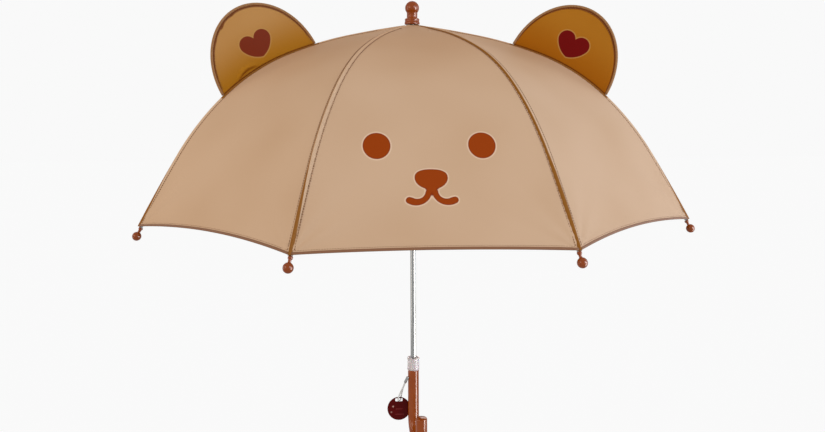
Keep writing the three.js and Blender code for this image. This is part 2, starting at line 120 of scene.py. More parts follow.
def newMaterial(name, colour, **sockets):
    material = bpy.data.materials.new(name)
    material.use_nodes = True
    tree = material.node_tree
    shader = tree.nodes["Principled BSDF"]
    shader.inputs["Base Color"].default_value = srgb(colour)
    for key, value in sockets.items():
        shader.inputs[key.replace("_", " ")].default_value = value
    material.diffuse_color = srgb(colour)
    return material, tree, shader


# A tint laid over a colour, as strongly as the share that a value's span is mapped to.
def tinted(tree, colour, tint, value, span, share, ease="LINEAR"):
    mapped = addNode(
        tree, "ShaderNodeMapRange",
        {"Value": value, "From Min": span[0], "From Max": span[1], "To Min": share[0], "To Max": share[1]},
        interpolation_type=ease,
    )
    mixed = addNode(
        tree, "ShaderNodeMix", {"Factor": mapped.outputs[0], 6: colour, 7: tint}, data_type="RGBA",
    )
    return mixed.outputs[2]


# Woven polyester: plain weave, dyed, proofed on the face, so it is matt with a soft sheen
# at the edges of the dome. Threads are 0.25 mm apart, and drawn at 1.1 mm so that they show.
weave = {"pitch": 1.1, "lift": 0.05 * mm, "mottle": 130.0}


def wovenCloth(name, pale, deep, roughness=0.66, crownShade=1.0):
    material, tree, shader = newMaterial(
        name, pale, Roughness=roughness, Sheen_Weight=0.02, Sheen_Roughness=0.45, Specular_IOR_Level=0.08,
    )
    place = addNode(tree, "ShaderNodeUVMap", uv_map="cloth").outputs[0]
    bands = 2 * math.pi / 20 / weave["pitch"]
    warp = addNode(tree, "ShaderNodeTexWave", {"Vector": place, "Scale": bands}, bands_direction="X")
    weft = addNode(tree, "ShaderNodeTexWave", {"Vector": place, "Scale": bands}, bands_direction="Y")
    threads = addNode(
        tree, "ShaderNodeMath", {0: warp.outputs["Fac"], 1: weft.outputs["Fac"]}, operation="MAXIMUM",
    ).outputs[0]
    mottle = addNode(
        tree, "ShaderNodeTexNoise", {"Vector": place, "Scale": 1 / weave["mottle"], "Detail": 1.0},
    )
    wide = addNode(
        tree, "ShaderNodeMapRange",
        {"Value": mottle.outputs["Fac"], "From Min": 0.3, "From Max": 0.7, "To Min": 0.0, "To Max": 0.7},
    )
    shade = addNode(
        tree, "ShaderNodeMath", {0: threads, 1: -0.2, 2: wide.outputs[0]},
        operation="MULTIPLY_ADD", use_clamp=True,
    )
    mixed = addNode(
        tree, "ShaderNodeMix", {"Factor": shade.outputs[0], 6: srgb(pale), 7: srgb(deep)}, data_type="RGBA",
    )
    # Painted shade: the colour is a little darker and warmer towards the crown.
    along = addNode(tree, "ShaderNodeSeparateXYZ", {"Vector": place}).outputs["Y"]
    colour = tinted(
        tree, mixed.outputs[2], srgb("#BD8B5E"), along, (120.0, 330.0), (0.5 * crownShade, 0.0), "SMOOTHSTEP",
    )
    tree.links.new(colour, shader.inputs["Base Color"])
    addNode(
        tree, "ShaderNodeBump", {"Height": threads, "Strength": 0.35, "Distance": weave["lift"]},
        to=shader.inputs["Normal"],
    )
    return material, tree, shader, colour


# A print's own colour inside its outline, a little darker at the edge, with a thin pale
# line round it. "print" is the distance from the outline in mm.
def addPrint(tree, shader, cloth, ink, edge, primer, edgeWidth=1.2, primerWidth=1.3):
    away = addNode(tree, "ShaderNodeAttribute", attribute_name="print").outputs["Fac"]
    colour = tinted(tree, cloth, primer, away, (primerWidth * 0.5, primerWidth * 1.5), (0.75, 0.0))
    inked = tinted(tree, ink, edge, away, (-edgeWidth, -0.3), (0.0, 1.0))
    colour = tinted(tree, colour, inked, away, (-0.35, 0.35), (1.0, 0.0))
    tree.links.new(colour, shader.inputs["Base Color"])
    addNode(
        tree, "ShaderNodeMapRange",
        {"Value": away, "From Min": -0.4, "From Max": 0.4, "To Min": 0.5, "To Max": 0.66},
        to=shader.inputs["Roughness"],
    )


def clothMaterials():
    plain = wovenCloth("polyesterPongeeWoven", "#C9A98B", "#BE9B7A")[0]
    front, tree, shader, colour = wovenCloth("polyesterPongeeScreenPrinted", "#C9A98B", "#BE9B7A")
    addPrint(tree, shader, colour, srgb("#933A00"), srgb("#7A2600"), srgb("#E2C4A8"))
    return plain, front


# Ear cloth: the same weave dyed ochre, with painted shade that deepens it towards the foot, a dark line
# along the foot, a dark ring inside the piping (stitched seam allowance and painted shade) and painted shade
# in its crease.
def earMaterial(name, pale, deep, foot, ink):
    material, tree, shader, colour = wovenCloth(name, pale, deep, 0.6, 0.0)
    above, rim, creaseShade = (
        addNode(tree, "ShaderNodeAttribute", attribute_name=key).outputs["Fac"]
        for key in ("foot", "rim", "creaseShade")
    )
    # Painted shade: the foot colour deepens the cloth towards the ear's foot.
    colour = tinted(tree, colour, srgb(foot), above, (2.0, 62.0), (1.0, 0.0), "SMOOTHSTEP")
    # Partly real, partly painted shade: a dark ring just inside the piping, the stitched seam allowance
    # showing through and shade under the piping.
    colour = tinted(tree, colour, srgb("#642A04"), rim, (3.4, 5.2), (0.9, 0.0))
    colour = tinted(tree, colour, srgb("#6B2F08"), above, (0.8, 2.2), (0.85, 0.0))
    # Painted shade under the lip of the left ear's fold.
    creaseShaded = addNode(
        tree, "ShaderNodeMix", {"Factor": creaseShade, 6: colour, 7: srgb("#7A3E06")}, data_type="RGBA",
    )
    addPrint(tree, shader, creaseShaded.outputs[2], srgb(ink), srgb(ink), srgb("#B88A4E"))
    return material


# Polyester tape: twill, 0.4 mm ribs drawn at 0.9 mm, which break up the shine.
def tapeMaterial(name, colour, deep):
    material, tree, shader = newMaterial(
        name, colour, Roughness=0.7, Specular_IOR_Level=0.25, Sheen_Weight=0.15,
    )
    place = addNode(tree, "ShaderNodeTexCoord").outputs["Object"]
    twill = addNode(
        tree, "ShaderNodeTexWave", {"Vector": place, "Scale": 2 * math.pi / 20 / (0.9 * mm)},
        bands_direction="DIAGONAL",
    ).outputs["Fac"]
    mixed = addNode(
        tree, "ShaderNodeMix", {"Factor": twill, 6: srgb(deep), 7: srgb(colour)}, data_type="RGBA",
    )
    tree.links.new(mixed.outputs[2], shader.inputs["Base Color"])
    addNode(
        tree, "ShaderNodeBump", {"Height": twill, "Strength": 0.4, "Distance": 0.06 * mm},
        to=shader.inputs["Normal"],
    )
    return material


# The seam's ridge: brown tape on one flank, the next panel's cloth folded over the other.
def ridgeMaterial():
    # Painted highlight: the ridge's cloth colours are a little paler than the panels', standing for its lit
    # flank.
    material, tree, shader, colour = wovenCloth("polyesterSeamTaped", "#CDAE90", "#C3A182", 0.6)
    place = addNode(tree, "ShaderNodeUVMap", uv_map="cloth").outputs[0]
    parts = addNode(tree, "ShaderNodeSeparateXYZ", {"Vector": place}).outputs
    # The tape's colour spreads across the whole ridge as it nears the tip.
    across = addNode(
        tree, "ShaderNodeMapRange",
        {"Value": parts["Y"], "From Min": 385.0, "From Max": 485.0, "To Min": 0.0, "To Max": -4.2},
    ).outputs[0]
    across = addNode(tree, "ShaderNodeMath", {0: across, 1: parts["X"]}, operation="ADD").outputs[0]
    colour = tinted(tree, colour, srgb("#8C623A"), parts["X"], (2.7, 3.1), (0.0, 0.8))
    colour = tinted(tree, colour, srgb("#8C5A22"), across, (-1.1, -0.6), (1.0, 0.0))
    tree.links.new(colour, shader.inputs["Base Color"])
    return material


# Injection-moulded ABS: high gloss with a very slight orange peel, 3 mm across, in the reflections.
def mouldedGloss(name, colour, deep, roughness=0.14, peel=3.0):
    material, tree, shader = newMaterial(
        name, colour, Roughness=roughness, IOR=1.5, Specular_IOR_Level=0.42,
    )
    place = addNode(tree, "ShaderNodeTexCoord").outputs["Object"]
    flow = addNode(
        tree, "ShaderNodeTexNoise", {"Vector": place, "Scale": 1 / (14 * mm), "Detail": 2.0},
    ).outputs["Fac"]
    mixed = addNode(
        tree, "ShaderNodeMix", {"Factor": flow, 6: srgb(deep), 7: srgb(colour)}, data_type="RGBA",
    )
    tree.links.new(mixed.outputs[2], shader.inputs["Base Color"])
    orange = addNode(
        tree, "ShaderNodeTexNoise", {"Vector": place, "Scale": 1 / (peel * mm), "Detail": 1.0},
    )
    addNode(
        tree, "ShaderNodeBump", {"Height": orange.outputs["Fac"], "Strength": 0.12, "Distance": 0.03 * mm},
        to=shader.inputs["Normal"],
    )
    addNode(
        tree, "ShaderNodeMapRange", {"Value": flow, "To Min": roughness * 0.8, "To Max": roughness * 1.5},
        to=shader.inputs["Roughness"],
    )
    return material


# Polypropylene, moulded thin: milky, and it lets some light through.
def milkyPlastic(name, colour, clear):
    material, tree, shader = newMaterial(
        name, colour, Roughness=0.32, IOR=1.49, Transmission_Weight=clear,
        Subsurface_Weight=0.1, Subsurface_Scale=2 * mm,
    )
    place = addNode(tree, "ShaderNodeTexCoord").outputs["Object"]
    grain = addNode(
        tree, "ShaderNodeTexNoise", {"Vector": place, "Scale": 1 / (2 * mm), "Detail": 2.0},
    ).outputs["Fac"]
    addNode(
        tree, "ShaderNodeBump", {"Height": grain, "Strength": 0.2, "Distance": 0.04 * mm},
        to=shader.inputs["Normal"],
    )
    addNode(
        tree, "ShaderNodeMapRange", {"Value": grain, "To Min": 0.26, "To Max": 0.4},
        to=shader.inputs["Roughness"],
    )
    return material


# Plated steel: drawn tube or strip. The plating is bright, with fine drawing lines along Z.
def platedSteel(name, colour, roughness, lines):
    material, tree, shader = newMaterial(name, colour, Metallic=1.0, Roughness=roughness)
    place = addNode(tree, "ShaderNodeTexCoord").outputs["Object"]
    drawn = addNode(
        tree, "ShaderNodeMapping",
        {"Vector": place, "Scale": (1 / (0.8 * mm), 1 / (0.8 * mm), 1 / (40 * mm))},
    )
    streak = addNode(tree, "ShaderNodeTexNoise", {"Vector": drawn.outputs[0], "Scale": 1.0, "Detail": 3.0})
    addNode(
        tree, "ShaderNodeMapRange",
        {"Value": streak.outputs["Fac"], "To Min": roughness - lines, "To Max": roughness + lines},
        to=shader.inputs["Roughness"],
    )
    return material


# Braided polyester cord: strands cross every 1.4 mm.
def cordMaterial():
    material, tree, shader = newMaterial(
        "polyesterCordBraided", "#E4E8E6", Roughness=0.75, Sheen_Weight=0.2,
    )
    place = addNode(tree, "ShaderNodeUVMap", uv_map="cloth").outputs[0]
    braid = addNode(
        tree, "ShaderNodeTexWave", {"Vector": place, "Scale": 2 * math.pi / 20 / 1.4},
        bands_direction="DIAGONAL",
    ).outputs["Fac"]
    mixed = addNode(
        tree, "ShaderNodeMix", {"Factor": braid, 6: srgb("#C9CECC"), 7: srgb("#EDF0EE")}, data_type="RGBA",
    )
    tree.links.new(mixed.outputs[2], shader.inputs["Base Color"])
    addNode(
        tree, "ShaderNodeBump", {"Height": braid, "Strength": 0.6, "Distance": 0.15 * mm},
        to=shader.inputs["Normal"],
    )
    return material


# Acrylic tag, cast dark red and polished, with printed dots and rules left blank for a name.
tagMarks = {
    "dots": [(-9.4, 3.2), (-10.4, -4.8)],
    "dotRadius": 1.7,
    "rules": [-0.6, -8.4],
    "ruleHalf": 7.0,
    "ruleWidth": 0.5,
}


def tagMaterial():
    material, tree, shader = newMaterial(
        "acrylicCastRed", "#520000", Roughness=0.2, IOR=1.49, Specular_IOR_Level=0.12,
    )
    place = addNode(tree, "ShaderNodeTexCoord").outputs["Object"]
    cloud = addNode(tree, "ShaderNodeTexNoise", {"Vector": place, "Scale": 1 / (9 * mm), "Detail": 2.0})
    mixed = addNode(
        tree, "ShaderNodeMix", {"Factor": cloud.outputs["Fac"], 6: srgb("#480000"), 7: srgb("#600000")},
        data_type="RGBA",
    )
    marks, rules = (
        addNode(tree, "ShaderNodeAttribute", attribute_name=key).outputs["Fac"] for key in ("marks", "rules")
    )
    colour = tinted(tree, mixed.outputs[2], srgb("#8A3A3A"), rules, (-0.3, 0.4), (0.6, 0.0))
    colour = tinted(tree, colour, srgb("#D9B0A4"), marks, (-0.5, 0.5), (1.0, 0.0))
    tree.links.new(colour, shader.inputs["Base Color"])
    return material


plainCloth, frontCloth = clothMaterials()
# One cloth for both ears, drawn paler on the left (painted light) and darker on the right (painted shade):
# cloth, foot colour and heart ink alike.
earCloths = {
    "left": earMaterial("polyesterPongeeOchreLeftLit", "#B8884E", "#AF7C3C", "#A46C10", "#742400"),
    "right": earMaterial("polyesterPongeeOchreRightShaded", "#AA6E1A", "#A26610", "#A05C00", "#6C0000"),
}
ridgeCloth = ridgeMaterial()
hemTape = tapeMaterial("polyesterTapeWoven", "#8E6344", "#7A5238")
pipingTape = tapeMaterial("polyesterPipingWoven", "#A2764A", "#8A6036")
threadBrown = tapeMaterial("polyesterThreadTwisted", "#8A5F3C", "#74492A")
brownGloss = mouldedGloss("absMouldedBrown", "#91430A", "#823600")
handleGloss = mouldedGloss("absMouldedChestnut", "#9C4A0A", "#8C3C02", 0.12)
milkWhite = milkyPlastic("polypropyleneMouldedMilky", "#EDE6E8", 0.45)
plainWhite = milkyPlastic("nylonMouldedWhite", "#DFDAD8", 0.0)
chrome = platedSteel("steelChromePlated", "#B8B9B7", 0.14, 0.05)
zinc = platedSteel("steelZincPlated", "#A4A6A6", 0.34, 0.1)
cordWhite = cordMaterial()
tagRed = tagMaterial()
print("materials made")


# Meshes
def newPiece(name, points, faces, material, uv=None, values=None, normals=None):
    mesh = bpy.data.meshes.new(name)
    mesh.from_pydata([tuple(point) for point in points], [], faces)
    mesh.materials.append(material)
    mesh.shade_smooth()
    if uv is not None:
        corners = np.zeros(len(mesh.loops), np.int32)
        mesh.loops.foreach_get("vertex_index", corners)
        layer = mesh.uv_layers.new(name="cloth")
        layer.data.foreach_set("uv", np.asarray(uv, np.float32)[corners].ravel())
    for key, numbers in (values or {}).items():
        stored = mesh.attributes.new(key, "FLOAT", "POINT")
        stored.data.foreach_set("value", np.asarray(numbers, np.float32))
    if normals is not None:
        mesh.normals_split_custom_set_from_vertices([tuple(n) for n in normals])
    mesh.validate()
    piece = placed(name, mesh)
    return piece


def finishPiece(piece, body, slot, *nodes):
    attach(piece, body)
    if nodes:
        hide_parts(*nodes)
    return piece


# Faces of a grid of points, row by row, closed round if it wraps.
def gridFaces(rows, columns, first=0, wrap=False, flip=False):
    faces = []
    for r in range(rows - 1):
        for c in range(columns if wrap else columns - 1):
            d = (c + 1) % columns
            face = [first + r * columns + c, first + r * columns + d,
                    first + (r + 1) * columns + d, first + (r + 1) * columns + c]
            faces.append(face[::-1] if flip else face)
    return faces


# A tube of rings, closed with a flat face at each end.
def tubeFaces(rings, sides, first=0):
    last = first + (rings - 1) * sides
    ends = [list(range(first, first + sides)), list(range(last, last + sides))]
    return gridFaces(rings, sides, first, wrap=True) + ends


# A thin closed shell: a grid of points, and the same grid a thickness inside it.
def shellFaces(rows, columns):
    count = rows * columns
    faces = gridFaces(rows, columns) + gridFaces(rows, columns, count, flip=True)
    edge = [(0, c) for c in range(columns)]
    edge += [(r, columns - 1) for r in range(1, rows)]
    edge += [(rows - 1, c) for c in range(columns - 2, -1, -1)]
    edge += [(r, 0) for r in range(rows - 2, 0, -1)]
    ring = [r * columns + c for r, c in edge]
    for a, b in zip(ring, ring[1:] + ring[:1]):
        faces.append([b, a, a + count, b + count])
    return faces


def facingOut(piece):
    work = bmesh.new()
    work.from_mesh(piece.data)
    bmesh.ops.remove_doubles(work, verts=work.verts, dist=1e-7)
    bmesh.ops.recalc_face_normals(work, faces=work.faces)
    work.to_mesh(piece.data)
    work.free()
    return piece


# A turned piece about +Z. The profile is (radius, height) pairs in mm, from one pole to the other.
def turned(name, profile, material, steps=48, place=None, angle=50):
    points, faces = [], []
    rings = []
    for radius, height in [(r * mm, h * mm) for r, h in profile]:
        if radius < 1e-9:
            rings.append([len(points)])
            points.append(Vector((0, 0, height)))
            continue
        rings.append(list(range(len(points), len(points) + steps)))
        for i in range(steps):
            turn = 2 * math.pi * i / steps
            points.append(Vector((radius * math.cos(turn), radius * math.sin(turn), height)))
    if len(rings[0]) > 1:
        rings.append(rings[0])
    for low, high in zip(rings, rings[1:]):
        for i in range(steps):
            j = (i + 1) % steps
            if len(low) == 1:
                faces.append([low[0], high[j], high[i]])
            elif len(high) == 1:
                faces.append([low[i], low[j], high[0]])
            else:
                faces.append([low[i], low[j], high[j], high[i]])
    if place is not None:
        points = [place @ point for point in points]
    piece = facingOut(newPiece(name, points, faces, material))
    piece.data.set_sharp_from_angle(angle=degrees(angle))
    return piece


def arc(middleX, middleY, radius, first, last, steps):
    turns = [degrees(first + (last - first) * i / steps) for i in range(steps + 1)]
    return [(middleX + radius * math.cos(t), middleY + radius * math.sin(t)) for t in turns]


# Points along a smooth curve through the given ones.
def smoothLine(points, count):
    points = [Vector(p) for p in points]
    points = [2 * points[0] - points[1]] + points + [2 * points[-1] - points[-2]]
    spans = len(points) - 3
    line = []
    for k in range(count + 1):
        place = min(k / count * spans, spans - 1e-9)
        i = int(place)
        t = place - i
        a, b, c, d = points[i:i + 4]
        line.append(0.5 * (2 * b + (c - a) * t + (2 * a - 5 * b + 4 * c - d) * t ** 2
                           + (3 * b - a - 3 * c + d) * t ** 3))
    return line


# Frames square to a line, each turned as little as can be from the last.
def framesAlong(line, side=None):
    tangents = []
    for i in range(len(line)):
        tangents.append((line[min(i + 1, len(line) - 1)] - line[max(i - 1, 0)]).normalized())
    side = side or tangents[0].orthogonal().normalized()
    frames = []
    for tangent in tangents:
        side = (side - tangent * side.dot(tangent)).normalized()
        frames.append((tangent, side, tangent.cross(side)))
    return frames


# A round bar along a line. Ends close on a point, with the edge rounded over by endRound.
def roundBar(name, line, radius, material, sides=16, endRound=0.0, patterned=False):
    frames = framesAlong(line)
    rings = [(line[0], frames[0], 0.0, -endRound)]
    if endRound:
        for step in (1, 2, 3):
            turn = degrees(90 - 30 * step)
            rings.append((line[0], frames[0], radius - endRound + endRound * math.cos(turn),
                          -endRound * math.sin(turn)))
    for i, point in enumerate(line):
        if not endRound or 0 < i < len(line) - 1:
            rings.append((point, frames[i], radius, 0.0))
    if endRound:
        for step in (0, 1, 2):
            turn = degrees(30 * step)
            rings.append((line[-1], frames[-1], radius - endRound + endRound * math.cos(turn),
                          endRound * math.sin(turn)))
    rings.append((line[-1], frames[-1], 0.0, endRound))
    points, uv = [], []
    along = 0.0
    for k, (middle, (tangent, side, up), size, shift) in enumerate(rings):
        along += (middle - rings[max(k - 1, 0)][0]).length
        for i in range(sides):
            turn = 2 * math.pi * i / sides
            points.append(middle + tangent * shift + (side * math.cos(turn) + up * math.sin(turn)) * size)
            uv.append((turn * radius / mm, along / mm))
    faces = gridFaces(len(rings), sides, wrap=True)
    return facingOut(newPiece(name, points, faces, material, uv=uv if patterned else None))


# A CAD node's shape with its edges eased, as moulding and tumbling leave them.
def eased(node, name, radius, material, angle=35):
    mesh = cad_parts[node].data.copy()
    mesh.name = name
    mesh.materials.clear()
    mesh.materials.append(material)
    work = bmesh.new()
    work.from_mesh(mesh)
    bmesh.ops.remove_doubles(work, verts=work.verts, dist=1e-6)
    bmesh.ops.dissolve_limit(work, angle_limit=degrees(1), verts=work.verts, edges=work.edges)
    for face in work.faces:
        face.smooth = True
        face.material_index = 0
    work.to_mesh(mesh)
    work.free()
    piece = placed(name, mesh)
    bevel = piece.modifiers.new("eased", "BEVEL")
    bevel.width = radius
    bevel.segments = 2
    bevel.limit_method = "ANGLE"
    bevel.angle_limit = degrees(angle)
    bevel.harden_normals = True
    return piece


# Geometry Nodes: stitches of twisted thread along a line of edges.
def stitchTree():
    tree = bpy.data.node_groups.new("stitches", "GeometryNodeTree")
    tree.interface.new_socket("Line", in_out="INPUT", socket_type="NodeSocketGeometry")
    for name, kind, value in (
        ("Pitch", "NodeSocketFloat", 3.0 * mm),
        ("Length", "NodeSocketFloat", 2.3 * mm),
        ("Thread", "NodeSocketFloat", 0.8 * mm),
        ("Waver", "NodeSocketFloat", 0.08),
        ("Seed", "NodeSocketInt", 4),
        ("Material", "NodeSocketMaterial", None),
    ):
        socket = tree.interface.new_socket(name, in_out="INPUT", socket_type=kind)
        if value is not None:
            socket.default_value = value
    tree.interface.new_socket("Stitches", in_out="OUTPUT", socket_type="NodeSocketGeometry")
    given = addNode(tree, "NodeGroupInput").outputs
    curve = addNode(tree, "GeometryNodeMeshToCurve", {"Mesh": given["Line"]})
    spots = addNode(
        tree, "GeometryNodeCurveToPoints", {"Curve": curve.outputs[0], "Length": given["Pitch"]},
        mode="LENGTH",
    )
    bead = addNode(tree, "GeometryNodeMeshUVSphere", {"Segments": 6, "Rings": 4, "Radius": 0.5})
    size = addNode(
        tree, "ShaderNodeCombineXYZ",
        {"X": given["Thread"], "Y": given["Thread"], "Z": given["Length"]},
    )
    minus = addNode(tree, "ShaderNodeMath", {0: given["Waver"], 1: -1.0}, operation="MULTIPLY")
    turn = addNode(
        tree, "FunctionNodeRandomValue",
        {"Min": minus.outputs[0], "Max": given["Waver"], "Seed": given["Seed"]}, data_type="FLOAT_VECTOR",
    )
    rotated = addNode(
        tree, "FunctionNodeRotateRotation",
        {"Rotation": spots.outputs["Rotation"], "Rotate By": turn.outputs[0]}, rotation_space="LOCAL",
    )
    sewn = addNode(
        tree, "GeometryNodeInstanceOnPoints",
        {"Points": spots.outputs["Points"], "Instance": bead.outputs["Mesh"],
         "Rotation": rotated.outputs[0], "Scale": size.outputs[0]},
    )
    real = addNode(tree, "GeometryNodeRealizeInstances", {"Geometry": sewn.outputs[0]})
    painted = addNode(
        tree, "GeometryNodeSetMaterial", {"Geometry": real.outputs[0], "Material": given["Material"]},
    )
    addNode(tree, "NodeGroupOutput", {"Stitches": painted.outputs[0]})
    return tree


stitches = stitchTree()
sewing = {  # pitch, length and thickness of a stitch, for each kind of seam
    "hem": {"Pitch": 2.6 * mm, "Length": 2.0 * mm, "Thread": 0.5 * mm},
    "seam": {"Pitch": 2.8 * mm, "Length": 2.4 * mm, "Thread": 0.9 * mm},
    "ear": {"Pitch": 2.8 * mm, "Length": 2.2 * mm, "Thread": 0.6 * mm},
    "tie": {"Pitch": 2.8 * mm, "Length": 2.1 * mm, "Thread": 0.5 * mm},
}


def sewLines(name, lines, kind):
    points, edges = [], []
    for line in lines:
        edges += [(len(points) + i, len(points) + i + 1) for i in range(len(line) - 1)]
        points += [tuple(point) for point in line]
    mesh = bpy.data.meshes.new(name + "Line")
    mesh.from_pydata(points, edges, [])
    guide = placed(name + "Line", mesh)
    modifier = guide.modifiers.new("stitches", "NODES")
    modifier.node_group = stitches
    items = stitches.interface.items_tree
    sockets = {item.name: item.identifier for item in items if item.in_out == "INPUT"}
    modifier[sockets["Material"]] = threadBrown
    for key, value in sewing[kind].items():
        modifier[sockets[key]] = value
    made = guide.evaluated_get(bpy.context.evaluated_depsgraph_get())
    piece = placed(name, bpy.data.meshes.new_from_object(made))
    piece.data.shade_smooth()
    bpy.data.objects.remove(guide)
    return piece


# The canopy's line: distance out, height and slope along the seam over a rib,
# as the CAD has it. The slopes are degrees below level at equal steps from crown to tip.
canopy = {
    "ribs": 8,
    "slopes": [11, 13, 23, 44, 60, 63],
    "tipRadius": 380 * mm,
    "crownHeight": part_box("finial")[0].z - 0.6 * mm,
    "start": 7 * mm,  # the cloth's edge round the shaft, along the cloth
    "dip": 3 * mm,  # of a panel between its ribs
    "hemRise": 9 * mm,  # of the hem between two ribs
    "frontHemRise": 3 * mm,
    "seamGap": 0.8 * mm,
    "bindingWidth": 3 * mm,
    "flexOut": 215 * mm,  # where the ribs straighten as the umbrella closes
    "depth": 0.5 * mm,  # the cloth's outside below the seam line
    "thickness": 0.4 * mm,
    "rowStep": 2.6 * mm,
    "columns": 44,
    "printedColumns": 130,
    "closedWidth": {"panel": 0.155, "panel_end": 0.125},  # of a panel's halves, folded between the ribs
}
halfPanel = math.pi / canopy["ribs"]


def seamLine(steps=240):
    out, drop, slope = [0.0], [0.0], [degrees(canopy["slopes"][0])]
    spans = len(canopy["slopes"]) - 1
    for i in range(1, steps + 1):
        slope.append(degrees(np.interp(i / steps * spans, range(spans + 1), canopy["slopes"])))
        out.append(out[-1] + math.cos(slope[-1]))
        drop.append(drop[-1] + math.sin(slope[-1]))
    scale = canopy["tipRadius"] / out[-1]
    return {
        "along": np.arange(steps + 1) * scale,
        "out": np.array(out) * scale,
        "height": canopy["crownHeight"] - np.array(drop) * scale,
        "slope": np.array(slope),
    }


seam = seamLine()
seamLength = float(seam["along"][-1])


def alongAt(out):
    return float(np.interp(out, seam["out"], seam["along"]))


def slopeAt(along):
    return float(np.interp(along, seam["along"], seam["slope"]))


flexAlong = alongAt(canopy["flexOut"])


def belowSeam(along, depth=0.0):
    slope = slopeAt(along)
    beyond = max(0.0, along - seamLength)
    out = float(np.interp(along, seam["along"], seam["out"])) + beyond * math.cos(slope)
    height = float(np.interp(along, seam["along"], seam["height"])) - beyond * math.sin(slope)
    return Vector((out - depth * math.sin(slope), 0, height - depth * math.cos(slope)))


# How far the cloth sinks under its own slack: puckers where the seam's thread draws it in,
# and creases that fan out from the rib tips, where it is pulled hardest.
creases = {
    "pucker": 0.24 * mm, "puckerPitch": 7.5 * mm, "puckerReach": 5 * mm,
    "fan": 0.85 * mm, "fanReach": 75 * mm, "fanLines": 11,
    "crown": 0.25 * mm, "crownReach": 40 * mm,
}


def sag(across, along):
    width = np.interp(along, seam["along"], seam["out"]) * math.sin(halfPanel)
    fromSeam = (1 - np.abs(across)) * width
    fromHem = np.maximum(seamLength - along, 0)
    c = creases
    pucker = np.sin(2 * np.pi * along / c["puckerPitch"])
    depth = c["pucker"] * np.exp(-fromSeam / c["puckerReach"]) * pucker
    reach = np.hypot(fromSeam, fromHem)
    turn = np.arctan2(fromSeam, fromHem + 1e-9)
    fade = np.exp(-reach / c["fanReach"]) * (1 - np.exp(-reach / (14 * mm)))
    depth += c["fan"] * fade * np.cos(c["fanLines"] * turn + np.sign(across) * 0.7)
    depth += c["crown"] * np.exp(-along / c["crownReach"]) * np.cos(3 * np.pi * across)
    slack = canopy["dip"] * (1 - across ** 2) * np.sin(np.pi * np.minimum(along / seamLength, 1))
    return slack + depth * np.minimum(1, fromSeam / (2 * mm))


# Points of a panel whose middle is on +X, as arrays.
def clothPoints(across, along, depth):
    out = np.interp(along, seam["along"], seam["out"])
    height = np.interp(along, seam["along"], seam["height"])
    slope = np.arctan(np.tan(np.interp(along, seam["along"], seam["slope"])) / math.cos(halfPanel))
    sunk = sag(across, along) + depth
    x = out * math.cos(halfPanel) - sunk * np.sin(slope)
    edge = x * math.tan(halfPanel) - canopy["seamGap"] / 2 / math.cos(halfPanel)
    return np.stack([x, across * edge, height - sunk * np.cos(slope)], axis=-1)


def hemAt(number, across):
    return seamLength - canopy["frontHemRise" if number == 1 else "hemRise"] * (1 - across ** 2)


def ribAzimuth(number):
    return -math.pi / 2 + (2 * number - 1) * halfPanel


def panelAzimuth(number):
    return -math.pi / 2 + (2 * number - 2) * halfPanel


def about(azimuth):
    return Matrix.Rotation(azimuth, 4, "Z")


# The face on the front panel: two eyes, a nose and a mouth, in mm across and along the cloth.
face = {
    "middle": -2.1,
    "eyes": {"apart": 56.4, "along": 374.2, "halfWidth": 14.8, "halfLength": 16.4},
    "nose": {"along": 412.8, "halfWidth": 17.4, "above": 9.9, "below": 13.4, "squareAbove": 2.45},
    "stem": {"halfWidth": 5.5, "from": 419.0, "to": 429.0},
    "mouth": {"outer": (16.7, 427.2, 16.8), "inner": (15.2, 427.9, 8.7), "end": (23.5, 438.2, 3.9),
              "corner": 18.5, "cut": 3.2},
}


def faceDistance(across, along):
    x = np.abs(across - face["middle"])
    eyes, nose, stem, mouth = face["eyes"], face["nose"], face["stem"], face["mouth"]
    scaled = np.hypot((x - eyes["apart"]) / eyes["halfWidth"], (along - eyes["along"]) / eyes["halfLength"])
    eye = (scaled - 1) * eyes["halfWidth"]
    down = along - nose["along"]
    power = np.where(down < 0, nose["squareAbove"], 2.0)
    tall = np.where(down < 0, nose["above"], nose["below"])
    scaled = ((x / nose["halfWidth"]) ** power + (np.abs(down) / tall) ** power) ** (1 / power)
    muzzle = (scaled - 1) * np.hypot(x, down) / np.maximum(scaled, 1e-6)
    bar = np.maximum(x - stem["halfWidth"], np.maximum(stem["from"] - along, along - stem["to"]))
    rings = {
        key: np.hypot(x - mouth[key][0], along - mouth[key][1]) - mouth[key][2]
        for key in ("outer", "inner", "end")
    }
    arm = np.maximum(rings["outer"], -rings["inner"])
    arm = np.maximum(arm, np.maximum(x - mouth["end"][0], stem["to"] - 2 - along))
    arm = np.maximum(arm, np.minimum(x - mouth["corner"], mouth["end"][1] - mouth["cut"] - along))
    smile = np.minimum(arm, rings["end"])
    return np.minimum(np.minimum(eye, muzzle), np.minimum(bar, smile))


